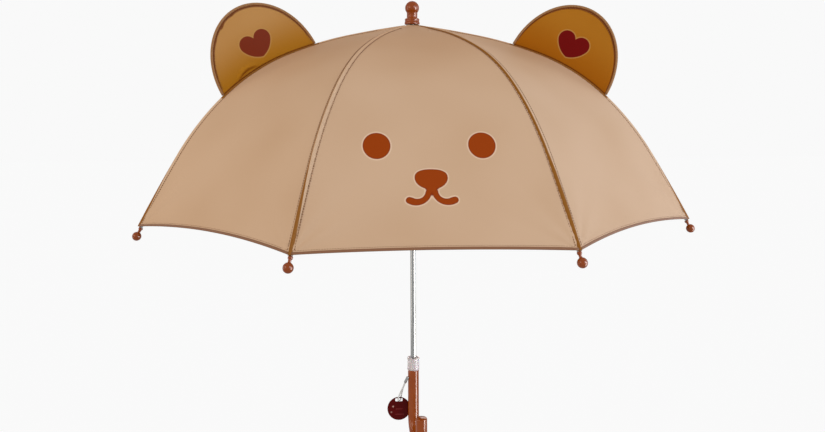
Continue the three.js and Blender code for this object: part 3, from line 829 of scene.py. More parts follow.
# One half of a panel, above or below the line where the ribs straighten. The upper half runs
# on a little way under the lower one, so that no gap opens there.
def clothHalf(number, upper):
    name = f"panelCloth{'Upper' if upper else 'Lower'}_{number}"
    printed = number == 1 and not upper
    columns = canopy["printedColumns"] if printed else canopy["columns"]
    step = canopy["rowStep"] if not printed else canopy["rowStep"] * 0.8
    tuck = 2.5 * mm
    first = canopy["start"] if upper else flexAlong
    last = flexAlong + tuck if upper else seamLength
    rows = round((last - first) / step) + 1
    across = np.linspace(-1, 1, columns)[None, :].repeat(rows, 0)
    share = np.linspace(0, 1, rows)[:, None].repeat(columns, 1)
    end = last if upper else hemAt(number, across) - canopy["bindingWidth"] * 0.5
    along = first + (end - first) * share
    sink = np.clip((along - flexAlong) / tuck, 0, 1) * 0.25 * mm if upper else 0.0
    top = clothPoints(across, along, canopy["depth"] + sink)
    low = clothPoints(across, along, canopy["depth"] + sink + canopy["thickness"])
    small = 0.4 * mm
    surface = canopy["depth"]
    right = clothPoints(across + 1e-3, along, surface) - clothPoints(across - 1e-3, along, surface)
    down = clothPoints(across, along + small, surface) - clothPoints(across, along - small, surface)
    normal = np.cross(down, right)
    normal /= np.linalg.norm(normal, axis=-1, keepdims=True)
    turn = np.array(about(panelAzimuth(number)).to_3x3())
    points = np.concatenate([top.reshape(-1, 3), low.reshape(-1, 3)]) @ turn.T
    normals = np.concatenate([normal.reshape(-1, 3), -normal.reshape(-1, 3)]) @ turn.T
    flat = np.stack([top[..., 1], along], axis=-1).reshape(-1, 2) / mm
    uv = np.concatenate([flat, flat])
    values = {"print": faceDistance(uv[:, 0], uv[:, 1])} if printed else None
    faces = [f[::-1] for f in shellFaces(rows, columns)]
    piece = newPiece(name, points, faces, frontCloth if printed else plainCloth, uv, values, normals)
    width = float(top[..., 1].max() - top[..., 1].min())
    strips = np.ptp(top[..., 1], axis=1)
    length = float(np.linalg.norm(np.diff(top[:, columns // 2], axis=0), axis=1).sum())
    area = float(np.trapz(strips, dx=length / (rows - 1)))
    return piece, (width, length), area


def foldWithPanel(piece):
    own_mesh(piece)


# Hem binding: tape folded over the cloth's edge, rounded at the fold. makeCanopy sews one row of stitches
# along it.
def hemTube(number, columns=60):
    name = f"hemTape_{number}"
    section = [(0.0, 0.15), (0.0, -0.55), (0.35, -0.8), (2.4, -0.8), (2.9, -0.6), (3.1, 0.0),
               (2.9, 0.6), (2.4, 0.8), (0.35, 0.8)]
    points = []
    for across in np.linspace(-1, 1, columns):
        for back, rise in section:
            along = hemAt(number, across) - canopy["bindingWidth"] + back * mm
            depth = canopy["depth"] + 0.3 * mm - rise * mm
            points.append(clothPoints(np.array(across), np.array(along), depth))
    turn = np.array(about(panelAzimuth(number)).to_3x3())
    points = np.array(points) @ turn.T
    return facingOut(newPiece(name, points, tubeFaces(columns, len(section)), hemTape))


def rowOnPanel(number, back, lift, reach=0.985, columns=90):
    line = []
    for across in np.linspace(-reach, reach, columns):
        along = np.array(hemAt(number, across) - back)
        point = clothPoints(np.array(across), along, canopy["depth"] - lift)
        line.append(about(panelAzimuth(number)) @ Vector(point))
    return line


def makeCanopy():
    for number in range(1, canopy["ribs"] + 1):
        tape = hemTube(number)
        rows = [rowOnPanel(number, canopy["bindingWidth"] + 1.2 * mm, 0.0)]
        thread = sewLines(f"hemStitches_{number}", rows, "hem")
        for upper in (True, False):
            cloth, flat, area = clothHalf(number, upper)
            half = "panel" if upper else "panel_end"
            finishPiece(cloth, f"{half}_{number}", "canopy_cloth", f"canopy_panel_{number}")
            foldWithPanel(cloth)
        finishPiece(tape, f"panel_end_{number}", "binding_tape", f"hem_binding_{number}")
        foldWithPanel(tape)
        finishPiece(thread, f"panel_end_{number}", "binding_tape")
        foldWithPanel(thread)


makeCanopy()
print("canopy made")


# Ears: two layers of cloth over a wire hoop, sewn to the seam over a rib.
ear = {
    "ribs": {"left": 7, "right": 2},
    "from": 153 * mm, "to": 301 * mm,  # along the seam
    "height": 91 * mm, "lift": 1.4 * mm, "footLift": 0.6 * mm,  # the foot is sewn into the ridge
    "wireInset": 1.3 * mm, "piping": 1.75 * mm, "sewnIn": 3.4 * mm,
    "halfThickness": 0.35 * mm, "pillow": 1.1 * mm,
    "columns": 121, "rows": 46, "bendReach": 62 * mm,
}


# The seam over each rib: a rounded ridge where two panels are felled together and taped.
ridge = {
    "halfWidth": 3.3 * mm, "height": 1.3 * mm, "from": 12.5 * mm, "step": 3 * mm,
    "bendReach": 22 * mm,  # either side of the line where the ribs straighten
}


def bendWithRib(piece):
    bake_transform(piece)


def ridgeSection(width, height):
    flank = [(-1.0, -0.9), (-0.97, -0.45), (-0.8, 0.1), (-0.5, 0.62), (-0.2, 0.9), (0.0, 1.0)]
    outline = flank + [(-x, y) for x, y in flank[-2::-1]]
    return [(x * width, y * height) for x, y in outline]


def makeRidge(number):
    rows = round((seamLength - ridge["from"]) / ridge["step"])
    points, uv = [], []
    fall = math.tan(halfPanel)
    for k in range(rows + 1):
        along = ridge["from"] + (seamLength - ridge["from"]) * k / rows
        slope = slopeAt(along)
        # Narrow at the crown, where eight seams meet, and a little narrower again at the tip.
        taper = 1 - 0.25 * max(0, k / rows - 0.9) / 0.1
        width = ridge["halfWidth"] * min(1, 0.3 + along / (90 * mm)) * taper
        for x, y in ridgeSection(width, ridge["height"] * min(1, 0.35 + along / (90 * mm))):
            drop = canopy["depth"] + abs(x) * fall * math.sin(slope) - y
            point = belowSeam(along, drop)
            points.append(Vector((point.x, x, point.z)))
            shown = x / width * ridge["halfWidth"] / mm
            if number in ear["ribs"].values() and ear["from"] - 3 * mm < along < ear["to"] + 3 * mm:
                shown = -3.0  # taped right across, to bind the ear's foot
            elif number == 2:
                shown = abs(shown)  # felled the other way, with its tape to the back
            uv.append((shown, along / mm))
    faces = tubeFaces(rows + 1, len(ridgeSection(1, 1)))
    turn = about(ribAzimuth(number))
    piece = facingOut(newPiece(f"seamRidge_{number}", [turn @ p for p in points], faces, ridgeCloth, uv))
    bendWithRib(piece)
    return piece


def makeSeamStitches(number):
    lines = []
    fall = math.tan(halfPanel)
    for side in (-1, 1):
        line = []
        for along in np.arange(60 * mm, seamLength - 4 * mm, 4 * mm):
            x = side * (ridge["halfWidth"] + 0.5 * mm)
            slope = slopeAt(along)
            point = belowSeam(float(along), canopy["depth"] + abs(x) * fall * math.sin(slope))
            line.append(about(ribAzimuth(number)) @ Vector((point.x, x, point.z)))
        lines.append(line)
    piece = sewLines(f"seamStitches_{number}", lines, "seam")
    bendWithRib(piece)


for ribNumber in range(1, canopy["ribs"] + 1):
    makeRidge(ribNumber)
    makeSeamStitches(ribNumber)
print("seams sewn")


# The heart, in mm from the middle of the ear's foot: two lobes, and sides that curve to a point.
heart = {"lobe": (10.8, 41.3, 11.5), "side": (-8.1, 50.1, 32.35), "leadTurn": 25.0}


def heartDistance(x, y):
    x = np.abs(x)
    lobe = np.hypot(x - heart["lobe"][0], y - heart["lobe"][1]) - heart["lobe"][2]
    side = np.hypot(x - heart["side"][0], y - heart["side"][1]) - heart["side"][2]
    lead = (y - heart["lobe"][1] + 1.0) + (x - heart["lobe"][0]) * math.tan(degrees(heart["leadTurn"]))
    return np.minimum(lobe, np.maximum(side, lead))


def earFrame():
    first = belowSeam(ear["from"], -ear["lift"])
    last = belowSeam(ear["to"], -ear["lift"])
    across = (last - first).normalized()
    return (first + last) / 2, across, Vector((-across.z, 0, across.x)), (last - first).length / 2


earMiddle, earAcross, earUp, earHalf = earFrame()


def earFootLine(count=200):
    line = []
    for along in np.linspace(ear["from"], ear["to"], count):
        point = belowSeam(float(along), -ear["footLift"]) - earMiddle
        line.append((point.dot(earAcross), point.dot(earUp)))
    return np.array(line)


# The left ear's foot is caught in one fold. Its place along the ear, 0 to 1, and its crest's height.
def foldCrest(x):
    along = np.clip((x - 10) / 42, 0, 1)
    return along, 15.5 - 8 * (2 * along - 0.7) ** 2


# Painted shade: the dark line under the fold's lip.
def earCreaseShade(side, x, y):
    if side == "right":
        return np.zeros_like(x)
    along, crest = foldCrest(x)
    return np.exp(-((y - crest + 2.4) / 1.3) ** 2) * np.sin(np.pi * along)


# Folds in an ear's cloth, in mm: puckers under the piping at the top, a soft roll across it,
# and on the left ear one fold at the outer end of the foot.
def earFolds(side, x, y, rim, turn):
    depth = 1.0 * np.exp(-rim / 6) * np.sin(turn * 17) * np.clip(np.sin(turn) * 1.6 - 0.6, 0, 1)
    depth += 0.5 * np.exp(-((x + 34) / 14) ** 2) * np.exp(-((y - 66) / 18) ** 2)
    depth += 0.9 * np.sin(x / 21 + 0.8) * np.sin(np.clip(y / 90, 0, 1) * np.pi)
    if side == "left":
        along, crest = foldCrest(x)
        depth += 2.6 * np.exp(-((y - crest) / 2.4) ** 2) * np.sin(np.pi * along)
        depth -= 2.0 * np.exp(-((y - crest + 4.6) / 2.6) ** 2) * np.sin(np.pi * along)
    return depth


def makeEar(side):
    number = ear["ribs"][side]
    columns, rows = ear["columns"], ear["rows"]
    hoopWide, hoopTall = earHalf - ear["wireInset"], ear["height"] - ear["wireInset"]
    turns = np.linspace(degrees(2.5), degrees(177.5), columns)
    x = -hoopWide * np.cos(turns)
    top = hoopTall * np.sin(turns)
    foot = earFootLine()
    low = np.minimum(np.interp(x, foot[:, 0], foot[:, 1]), top - 0.2 * mm)
    share = np.linspace(0, 1, rows)[:, None]
    xx = np.broadcast_to(x, (rows, columns)) / mm
    yy = (low + (top - low) * share) / mm
    rim = np.broadcast_to((top - low) * (1 - share) / mm, xx.shape) * np.maximum(np.sin(turns), 0.25)
    footAway = (top - low) * share / mm + 0 * xx
    turn = np.broadcast_to(turns, xx.shape)
    folds = earFolds(side, xx, yy, rim, turn)
    fade = np.minimum(1, np.minimum(rim, footAway) / 6)
    swell = ear["pillow"] / mm * np.sqrt(np.clip(fade, 0, 1))
    points, values = [], {}
    for face in (1, -1):
        away = folds * fade * (0.7 if face > 0 else 0.9) + face * (ear["halfThickness"] / mm + swell * 0.5)
        for px, py, pz in zip(xx.ravel(), yy.ravel(), away.ravel()):
            points.append(earMiddle + (earAcross * px + earUp * py) * mm + Vector((0, pz * mm, 0)))
    values["print"] = np.tile(heartDistance(xx.ravel(), yy.ravel()), 2)
    # Painted shade in the puckers under the left ear's piping: the dark ring inside it spreads in a row of
    # spots there.
    puckerShade = np.exp(-((turn - degrees(112)) / 0.3) ** 2) * np.maximum(0, np.sin(turn * 23)) * 1.6
    values["rim"] = np.tile((rim - puckerShade * (side == "left")).ravel(), 2)
    values["creaseShade"] = np.tile(earCreaseShade(side, xx, yy).ravel(), 2)
    values["foot"] = np.tile(footAway.ravel(), 2)
    uv = np.tile(np.stack([xx.ravel(), yy.ravel()], axis=1), (2, 1))
    place = about(ribAzimuth(number))
    points = [place @ point for point in points]
    faces = shellFaces(rows, columns)
    cloth = facingOut(newPiece(f"earCloth_{side}", points, faces, earCloths[side], uv, values))
    line = []
    for step in range(81):
        angle = math.pi * step / 80
        reach = earAcross * (-hoopWide * math.cos(angle)) + earUp * (hoopTall * math.sin(angle))
        line.append(place @ (earMiddle + reach))
    piping = roundBar(f"earPiping_{side}", line, ear["piping"], pipingTape, sides=14)
    inner = []
    for step in range(3, 98):
        angle = math.pi * step / 100
        for face in (-1, 1):
            reach = earAcross * (-(hoopWide - ear["sewnIn"]) * math.cos(angle))
            reach += earUp * ((hoopTall - ear["sewnIn"]) * math.sin(angle))
            inner.append(place @ (earMiddle + reach + Vector((0, face * 0.9 * mm, 0))))
    thread = sewLines(f"earStitches_{side}", [inner[0::2], inner[1::2]], "ear")
    for piece, slot, node in (
        (cloth, "ear_cloth", f"ear_{side}"),
        (piping, "binding_tape", f"ear_wire_{side}"),
        (thread, "binding_tape", None),
    ):
        bendWithRib(piece)
        if node:
            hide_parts(node)


for earSide in ear["ribs"]:
    makeEar(earSide)
print("ears made")


# Ribs: steel channel, open side down, with an eye on the crown's wire.
rib = {
    "width": 3.4 * mm, "depth": 2.8 * mm, "wall": 0.6 * mm, "middle": 4.0 * mm,
    "eyeRadius": 9.5 * mm, "eyeLength": 5 * mm, "step": 5 * mm,
    "pinOut": 180 * mm, "pinDrop": 1.2 * mm,  # the rivet that joins it to its stretcher
}


def channelSection(width, depth, wall):
    inner, floor, soft = width / 2 - wall, depth / 2 - wall, 0.35 * mm
    half = [(inner, -depth / 2), (width / 2, -depth / 2), (width / 2, depth / 2 - soft),
            (width / 2 - soft * 0.3, depth / 2 - soft * 0.3), (width / 2 - soft, depth / 2)]
    under = [(inner, floor)]
    return [(-x, y) for x, y in half] + half[::-1] + under + [(-x, y) for x, y in under]


def makeRib(number):
    first = alongAt(rib["eyeRadius"] + rib["eyeLength"])
    section = channelSection(rib["width"], rib["depth"], rib["wall"])
    rows = round((seamLength - first) / rib["step"])
    points = []
    for k in range(rows + 1):
        along = first + (seamLength - first) * k / rows
        for x, y in section:
            point = belowSeam(along, rib["middle"] - y)
            points.append(Vector((point.x, x, point.z)))
    faces = tubeFaces(rows + 1, len(section))
    eye = belowSeam(alongAt(rib["eyeRadius"]), rib["middle"] + 2 * mm)
    start = belowSeam(first, rib["middle"])
    way = (start - eye).normalized()
    up = Vector((-way.z, 0, way.x))
    outline = [eye + way * x + up * y for x, y in arc(0, 0, 1.7 * mm, 60, 300, 10)]
    outline += [start - up * 0.8 * mm + way * mm, start + up * 0.8 * mm + way * mm]
    base = len(points)
    for side in (-0.8 * mm, 0.8 * mm):
        points += [p + Vector((0, side, 0)) for p in outline]
    faces += tubeFaces(2, len(outline), base)
    turn = about(ribAzimuth(number))
    piece = facingOut(newPiece(f"ribChannel_{number}", [turn @ p for p in points], faces, zinc))
    piece.data.set_sharp_from_angle(angle=degrees(40))
    bendWithRib(piece)
    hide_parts(f"rib_{number}")


# Rib tip: a moulded ball on a stem, with a cup that the hem's corner is sewn to.
tip = {
    "cupRadius": 2.6, "cupLength": 3.2, "stemRadius": 1.7, "ballRadius": 5.5, "ballAt": 11.8,
    "start": 0.3,
}


def makeTip(number):
    bend = math.degrees(math.asin(tip["stemRadius"] / tip["ballRadius"]))
    profile = [(0, tip["start"]), (tip["cupRadius"] - 0.5, tip["start"])]
    profile += [(tip["cupRadius"], tip["start"] + 0.5)]
    profile += [(tip["cupRadius"], tip["cupLength"] - 0.6), (tip["stemRadius"] + 0.3, tip["cupLength"])]
    profile += [(tip["stemRadius"], tip["cupLength"] + 0.5)]
    profile += arc(0, tip["ballAt"], tip["ballRadius"], bend - 90, 90, 14)[:-1]
    profile += [(0, tip["ballAt"] + tip["ballRadius"])]
    slope = float(seam["slope"][-1])
    place = (about(ribAzimuth(number)) @ Matrix.Translation(belowSeam(seamLength, rib["middle"]))
             @ Matrix.Rotation(math.pi / 2 + slope, 4, "Y"))
    piece = turned(f"tipBall_{number}", profile, brownGloss, 32, place, 60)
    finishPiece(piece, f"rib_end_{number}", "finial_plastic", f"rib_tip_{number}")


# Stretcher: the CAD's channel with eased edges, and the rivet through it and the rib.
def makeStretcher(number):
    piece = eased(f"stretcher_{number}", f"stretcherChannel_{number}", 0.2 * mm, zinc)
    finishPiece(piece, f"stretcher_{number}", "frame_steel", f"stretcher_{number}")
    pin = belowSeam(alongAt(rib["pinOut"]), rib["middle"] + rib["pinDrop"])
    heads = []
    for side in (-1, 1):
        profile = [(0, 2.5), (1.7, 2.5), (1.7, 2.95), (1.45, 3.35), (0.9, 3.6), (0, 3.7)]
        place = (about(ribAzimuth(number)) @ Matrix.Translation(pin)
                 @ Matrix.Rotation(-side * math.pi / 2, 4, "X"))
        name = f"rivetHead_{number}_{'a' if side < 0 else 'b'}"
        heads.append(turned(name, profile, chrome, 20, place))
    for head in heads:
        finishPiece(head, f"stretcher_{number}", "frame_steel")


for ribNumber in range(1, canopy["ribs"] + 1):
    makeRib(ribNumber)
    makeTip(ribNumber)
    makeStretcher(ribNumber)
print("frame made")


# Finial: base ring, neck and ball in mm, turned smooth.
finial = {
    "base": 11.2, "baseHeight": 8.0, "neck": 7.8, "ball": 10.4, "socket": 4.3, "socketDepth": 8.3,
    "skirt": 1.5, "edge": 0.8,
}


def makeFinial():
    low, high = (corner.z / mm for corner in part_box("finial"))
    f = finial
    shoulder = low + f["baseHeight"]
    ballAt = high - f["ball"]
    bend = -math.degrees(math.acos(f["neck"] / f["ball"]))
    # The base is dished underneath to sit on the cloth, which falls away from the crown.
    foot = low - f["skirt"]
    edge, inside = f["edge"], low + f["socketDepth"]
    profile = [(0, inside), (f["socket"], inside), (f["socket"], low)]
    profile += [(7.0, low - 0.2), (f["base"] - edge, foot)]
    profile += arc(f["base"] - edge, foot + edge, edge, -60, 0, 3)
    profile += [(f["base"], low + 1.9), (f["base"] - 0.5, low + 2.5)]
    profile += arc(f["base"] - 1.9, shoulder - 2.2, 1.6, -30, 75, 8)
    profile += arc(f["neck"] + 2.2, shoulder + 1.5, 2.2, 250, 180, 6)
    profile += arc(0, ballAt, f["ball"], bend, 90, 24)[:-1] + [(0, high)]
    piece = turned("finialBall", profile, brownGloss, 64, angle=55)
    finishPiece(piece, "root", "finial_plastic", "finial")


makeFinial()


# Shaft: drawn tube with two windows at the back for the catches.
shaft = {
    "radius": 4 * mm, "wall": 0.7 * mm, "window": 17 * mm, "windowHalfTurn": degrees(20),
    "clear": 0.35 * mm,  # between a window's end and its catch
}


def makeShaft(steps=48):
    low, high = (corner.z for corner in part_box("shaft"))
    catches = [
        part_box("top_catch")[1].z + shaft["clear"] - shaft["window"],
        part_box("bottom_catch")[0].z - shaft["clear"],
    ]
    heights = sorted({low, high, *catches, *(z + shaft["window"] for z in catches)})
    turns = [2 * math.pi * i / steps for i in range(steps)]
    points, faces = [], []
    for radius in (shaft["radius"], shaft["radius"] - shaft["wall"]):
        for z in heights:
            points += [Vector((radius * math.cos(t), radius * math.sin(t), z)) for t in turns]
    layer = len(heights) * steps

    def corner(point):
        return tuple(round(x, 7) for x in point)

    def inWindow(row, i):
        middle = (i + 0.5) * 2 * math.pi / steps
        behind = abs(middle - math.pi / 2) < shaft["windowHalfTurn"]
        return behind and any(abs(heights[row] - z) < 1e-6 for z in catches)

    for row in range(len(heights) - 1):
        for i in range(steps):
            if inWindow(row, i):
                continue
            j = (i + 1) % steps
            a, b = row * steps + i, row * steps + j
            c, d = b + steps, a + steps
            faces.append([a, b, c, d])
            faces.append([d + layer, c + layer, b + layer, a + layer])
    work = bmesh.new()
    vertices = [work.verts.new(p) for p in points]
    for item in faces:
        work.faces.new([vertices[k] for k in item])
    used = {v for f in work.faces for v in f.verts}
    bmesh.ops.delete(work, geom=[v for v in work.verts if v not in used], context="VERTS")
    work.verts.index_update()
    numbered = {corner(p): k for k, p in enumerate(points)}
    lookup = {numbered[corner(v.co)]: v for v in work.verts}
    for edge in [e for e in work.edges if e.is_boundary]:
        a, b = (numbered[corner(v.co)] for v in edge.verts)
        if a < layer and b < layer:
            work.faces.new([lookup[a], lookup[b], lookup[b + layer], lookup[a + layer]])
    bmesh.ops.recalc_face_normals(work, faces=work.faces)
    mesh = bpy.data.meshes.new("shaftTube")
    work.to_mesh(mesh)
    work.free()
    mesh.materials.append(chrome)
    mesh.shade_smooth()
    mesh.set_sharp_from_angle(angle=degrees(40))
    finishPiece(placed("shaftTube", mesh), "root", "shaft_steel", "shaft")


makeShaft()


# Handle: a round bar bent into a hook, its end cut flat with the edge rounded over.
handle = {
    "radius": 8 * mm, "top": 33 * mm, "bendAt": -35 * mm, "bend": 25 * mm, "rise": 16.5 * mm,
    "turn": -math.pi / 2 + degrees(9), "endRound": 1.3 * mm,
}


def makeHandle():
    h = handle
    line = [Vector((0, 0, h["top"] - h["endRound"]))]
    line += [Vector((0, 0, h["top"] - h["endRound"] - 4 * mm * k)) for k in range(1, 16)]
    for x, z in arc(h["bend"], h["bendAt"], h["bend"], 180, 360, 40):
        line.append(Vector((x, 0, z)))
    for k in range(1, 5):
        line.append(Vector((2 * h["bend"], 0, h["bendAt"] + (h["rise"] - h["endRound"]) * k / 4)))
    line = [about(h["turn"]) @ point for point in line]
    piece = roundBar("handleHook", line, h["radius"], handleGloss, 40, h["endRound"])
    piece.data.set_sharp_from_angle(angle=degrees(60))
    finishPiece(piece, "root", "handle_plastic", "handle")


makeHandle()


# Collar: a thin milky cup over the handle's top, with a bead at each end and a flared mouth.
def makeCollar():
    low, high = (corner.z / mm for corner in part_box("collar"))
    profile = [(4.35, low), (8.2, low)] + arc(8.2, low + 0.8, 0.8, -60, 60, 5)
    profile += [(8.55, low + 2.0), (8.5, high - 3.4)] + arc(8.3, high - 2.4, 0.7, -70, 40, 4)
    profile += [(8.75, high - 0.9), (8.6, high - 0.25), (8.2, high), (6.9, high - 0.1)]
    profile += [(6.3, high - 1.0), (5.2, high - 4.4), (4.35, high - 7.0)]
    piece = turned("collarCup", profile, milkWhite, 56, angle=50)
    finishPiece(piece, "root", "white_plastic", "collar")


makeCollar()

for node, name, radius, material, body, slot in (
    ("crown_notch", "crownNotch", 0.35 * mm, plainWhite, "root", "white_plastic"),
    ("runner", "runnerSleeve", 0.4 * mm, plainWhite, "runner", "white_plastic"),
    ("tag_clasp", "tagClasp", 0.5 * mm, chrome, "root", "shaft_steel"),
):
    finishPiece(eased(node, name, radius, material), body, slot, node)

for node in ("crown_wire", "runner_wire", "top_catch", "bottom_catch"):
    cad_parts[node].data.materials.clear()
    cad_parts[node].data.materials.append(zinc)
print("hardware made")


# Name tag: a thin disc with a slot, on a loop of cord from the clasp.
tag = {
    "radius": 17 * mm, "thickness": 1.2 * mm, "slotHalfWidth": 5.4 * mm, "slotHalfHeight": 2.3 * mm,
    "slotDrop": 4.2 * mm, "edge": 0.25 * mm,
}


def makeTag():
    low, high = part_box("name_tag")
    middle = (low + high) / 2
    curve = bpy.data.curves.new("tagOutline", "CURVE")
    curve.dimensions = "2D"
    curve.fill_mode = "BOTH"
    curve.extrude = tag["thickness"] / 2 - tag["edge"]
    curve.bevel_depth = tag["edge"]
    curve.bevel_resolution = 2
    curve.offset = -tag["edge"]
    slotAt = tag["radius"] - tag["slotDrop"]
    soft = 1.2 * mm
    wide, tall = tag["slotHalfWidth"] - soft, tag["slotHalfHeight"] - soft
    slot = []
    for x, y, first in ((wide, tall, 0), (-wide, tall, 90), (-wide, -tall, 180), (wide, -tall, 270)):
        slot += arc(x, slotAt + y, soft, first, first + 90, 5)
    for outline in (arc(0, 0, tag["radius"], 0, 360, 96)[:-1], slot):
        spline = curve.splines.new("POLY")
        spline.points.add(len(outline) - 1)
        for point, (x, y) in zip(spline.points, outline):
            point.co = (x, y, 0, 1)
        spline.use_cyclic_u = True
    flat = placed("tagFlat", curve)
    mesh = bpy.data.meshes.new_from_object(flat.evaluated_get(bpy.context.evaluated_depsgraph_get()))
    bpy.data.objects.remove(flat)
    work = bmesh.new()
    work.from_mesh(mesh)
    bmesh.ops.remove_doubles(work, verts=work.verts, dist=1e-7)
    bmesh.ops.triangulate(work, faces=work.faces)
    for _ in range(3):
        longEdges = [e for e in work.edges if e.calc_length() > 1.6 * mm]
        bmesh.ops.subdivide_edges(work, edges=longEdges, cuts=1)
        bmesh.ops.triangulate(work, faces=work.faces)
    bmesh.ops.recalc_face_normals(work, faces=work.faces)
    work.to_mesh(mesh)
    work.free()
    places = np.array([v.co for v in mesh.vertices]) / mm
    dots = np.full(len(places), 9.0)
    for x, y in tagMarks["dots"]:
        dots = np.minimum(dots, np.hypot(places[:, 0] - x, places[:, 1] - y) - tagMarks["dotRadius"])
    rules = np.full(len(places), 9.0)
    for y in tagMarks["rules"]:
        wideOut = np.abs(places[:, 0] - 0.5) - tagMarks["ruleHalf"]
        tallOut = np.abs(places[:, 1] - y) - tagMarks["ruleWidth"]
        rules = np.minimum(rules, np.maximum(wideOut, tallOut))
    for key, numbers in (("marks", dots), ("rules", rules)):
        stored = mesh.attributes.new(key, "FLOAT", "POINT")
        stored.data.foreach_set("value", numbers.astype(np.float32))
    mesh.transform(Matrix.Translation(middle) @ Matrix.Rotation(math.pi / 2, 4, "X"))
    mesh.materials.clear()
    mesh.materials.append(tagRed)
    mesh.shade_smooth()
    mesh.set_sharp_from_angle(angle=degrees(35))
    return finishPiece(placed("tagDisc", mesh), "tag", "tag_plastic", "name_tag")


tagDisc = makeTag()

# The cord's route is the CAD's: down from the clasp, through the tag's slot and back.
cordRadius = 1 * mm
cordRoute = [
    (-13.1, -0.6, 12.7), (-14.4, 0.9, 8.7), (-16.1, 2.8, 4), (-18, 5, -0.8), (-19.9, 6.8, -5.6),
    (-21.5, 7.4, -10.4), (-22.4, 7.5, -13.6), (-22.1, 8.2, -15.4), (-20.3, 9.8, -16.2),
    (-18.4, 11.5, -15.4), (-17.9, 12.7, -13.6), (-17.4, 12.6, -10.4), (-16.7, 10.9, -5.6),
    (-15.9, 8.6, -0.8), (-14.9, 6, 4), (-13.6, 3.2, 8.7), (-12.1, 1, 12.5),
]


def makeCord():
    line = smoothLine([Vector(point) * mm for point in cordRoute], 96)
    piece = roundBar("tagCord", line, cordRadius, cordWhite, 12, patterned=True)
    finishPiece(piece, "tag", "strap_cord", "tag_strap")


makeCord()


# Tie strap on the back panel, with its hem stitched round, and a press stud.
tie = {
    "panel": 5, "halfWidth": 9 * mm, "from": 372 * mm, "to": 462 * mm,
    "lift": 0.3 * mm, "thickness": 0.9 * mm, "corner": 3 * mm, "stud": 5.0, "studAt": 12 * mm,
}


def tiePoint(x, along, lift):
    base = clothPoints(np.array(0.0), np.array(along), canopy["depth"] - lift)
    return about(panelAzimuth(tie["panel"])) @ Vector((base[0], x, base[2]))


def makeTie(rows=40, columns=9):
    points, uv = [], []
    for layer in (tie["lift"] + tie["thickness"], tie["lift"]):
        for r in range(rows):
            along = tie["from"] + (tie["to"] - tie["from"]) * r / (rows - 1)
            near = min(along - tie["from"], tie["to"] - along)
            short = max(0, tie["corner"] - near)
            inset = tie["corner"] - math.sqrt(max(0, tie["corner"] ** 2 - short ** 2))
            for c in range(columns):
                x = (2 * c / (columns - 1) - 1) * (tie["halfWidth"] - inset)
                crown = 0.25 * mm * (1 - (x / tie["halfWidth"]) ** 2) if layer > tie["lift"] else 0
                wave = 0.25 * mm * math.sin(along / (9 * mm))
                points.append(tiePoint(x, along, layer + crown + wave * (layer > tie["lift"])))
                uv.append((x / mm, along / mm))
    strap = facingOut(newPiece("tieStrap", points, shellFaces(rows, columns), plainCloth, uv))
    half, lift = tie["halfWidth"] - 1.8 * mm, tie["lift"] + tie["thickness"] + 0.1 * mm
    low, high = tie["from"] + 2 * mm, tie["to"] - 2 * mm
    edge = [(-half, low), (-half, high), (half, high), (half, low), (-half, low)]
    line = []
    for (xa, aa), (xb, ab) in zip(edge, edge[1:]):
        count = max(2, round(math.hypot(xb - xa, ab - aa) / (4 * mm)))
        for k in range(count):
            line.append(tiePoint(xa + (xb - xa) * k / count, aa + (ab - aa) * k / count, lift))
    thread = sewLines("tieStitches", [line], "tie")
    at = tie["to"] - tie["studAt"]
    seat, after = tiePoint(0, at, lift), tiePoint(0, at + mm, lift)
    up = (seat - tiePoint(0, at, lift - mm)).normalized()
    along = (after - seat).normalized()
    place = Matrix.Translation(seat) @ Matrix([along, up.cross(along), up]).transposed().to_4x4()
    r = tie["stud"]
    profile = [(0, -0.2), (r, -0.2), (r, 0.25), (r - 0.4, 0.8), (r - 1.2, 1.15)]
    profile += [(r - 2.0, 1.0), (r - 2.4, 0.8), (0, 0.75)]
    stud = turned("tieStud", profile, brownGloss, 40, place, 60)
    body = f"panel_end_{tie['panel']}"
    for piece, slot, nodes in (
        (strap, "canopy_cloth", ["tie_strap"]),
        (thread, "binding_tape", []),
        (stud, "finial_plastic", ["tie_stud"]),
    ):
        finishPiece(piece, body, slot, *nodes)


makeTie()
print("trim made")


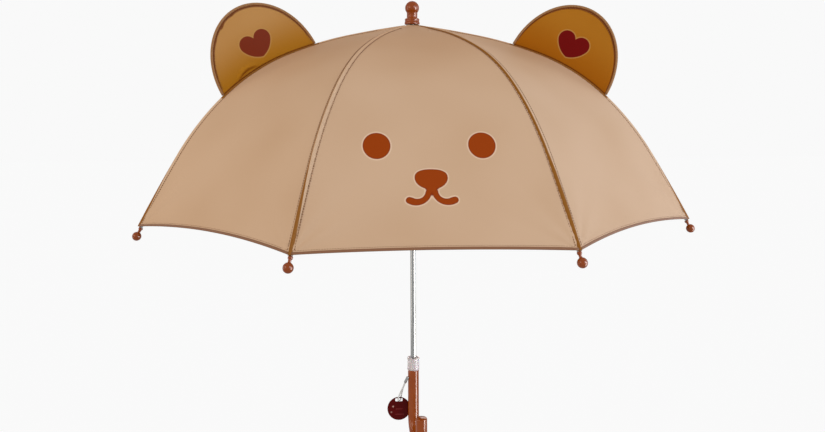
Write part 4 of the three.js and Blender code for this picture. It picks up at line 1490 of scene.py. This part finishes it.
# Studio: pale floor and world, and soft lights. The key is on the right.
studio = {
    "white": "#F9F9F9",
    "worldLight": 0.55,
    "floorHeight": -1.15,
    "lights": [
        ("key", (1.6, -1.9, 1.15), 1.5, 1.5, 28.0, "#F1F5FF"),
        ("fill", (-2.0, -1.6, 1.05), 1.4, 1.4, 17.0, "#FFEBD2"),
        ("rightStrip", (1.35, -0.75, 0.1), 0.6, 1.6, 44.0, "#FFF8F4"),
        ("rightSide", (1.7, 0.1, 0.5), 0.5, 1.6, 8.5, "#E6EEFF"),
        ("backFill", (0.5, 2.3, 0.9), 1.6, 1.4, 12.0, "#FFF4EA"),
        ("leftSide", (-1.7, -0.1, 0.4), 0.3, 1.6, 4.5, "#FFF4E8"),
    ],
}


def makeStudio():
    world = bpy.data.worlds.new("studio")
    bpy.context.scene.world = world
    world.use_nodes = True
    tree = world.node_tree
    tree.nodes.clear()
    seen = addNode(tree, "ShaderNodeBackground", {"Color": srgb(studio["white"]), "Strength": 1.0})
    lit = addNode(
        tree, "ShaderNodeBackground", {"Color": (1, 1, 1, 1), "Strength": studio["worldLight"]},
    )
    ray = addNode(tree, "ShaderNodeLightPath")
    mixed = addNode(
        tree, "ShaderNodeMixShader",
        {0: ray.outputs["Is Camera Ray"], 1: lit.outputs[0], 2: seen.outputs[0]},
    )
    addNode(tree, "ShaderNodeOutputWorld", {"Surface": mixed.outputs[0]})
    floorMesh = bpy.data.meshes.new("floor")
    z, far = studio["floorHeight"], 25
    corners = [(-far, -far, z), (far, -far, z), (far, far, z), (-far, far, z)]
    floorMesh.from_pydata(corners, [], [(0, 1, 2, 3)])
    paper, tree, shader = newMaterial("paperBackdropMatt", "#101010", Roughness=1.0, Specular_IOR_Level=0.0)
    shader.inputs["Emission Color"].default_value = srgb(studio["white"])
    shader.inputs["Emission Strength"].default_value = 1.0
    floorMesh.materials.append(paper)
    floor = placed("floor", floorMesh)
    floor.visible_diffuse = False
    floor.visible_glossy = False
    floor.visible_shadow = False
    for name, place, wide, tall, power, colour in studio["lights"]:
        data = bpy.data.lights.new(name, "AREA")
        data.shape = "RECTANGLE"
        data.size, data.size_y = wide, tall
        data.energy = power
        data.color = srgb(colour)[:3]
        light = placed(name, data)
        light.location = place
        way = Vector((0, 0, place[2] * 0.3 + 0.2)) - Vector(place)
        light.rotation_euler = way.to_track_quat("-Z", "Y").to_euler()
        light.visible_camera = False
        light.visible_diffuse = "Strip" not in name  # the strips only give highlights
    bpy.context.scene.view_settings.view_transform = "Standard"


makeStudio()
print("studio made")
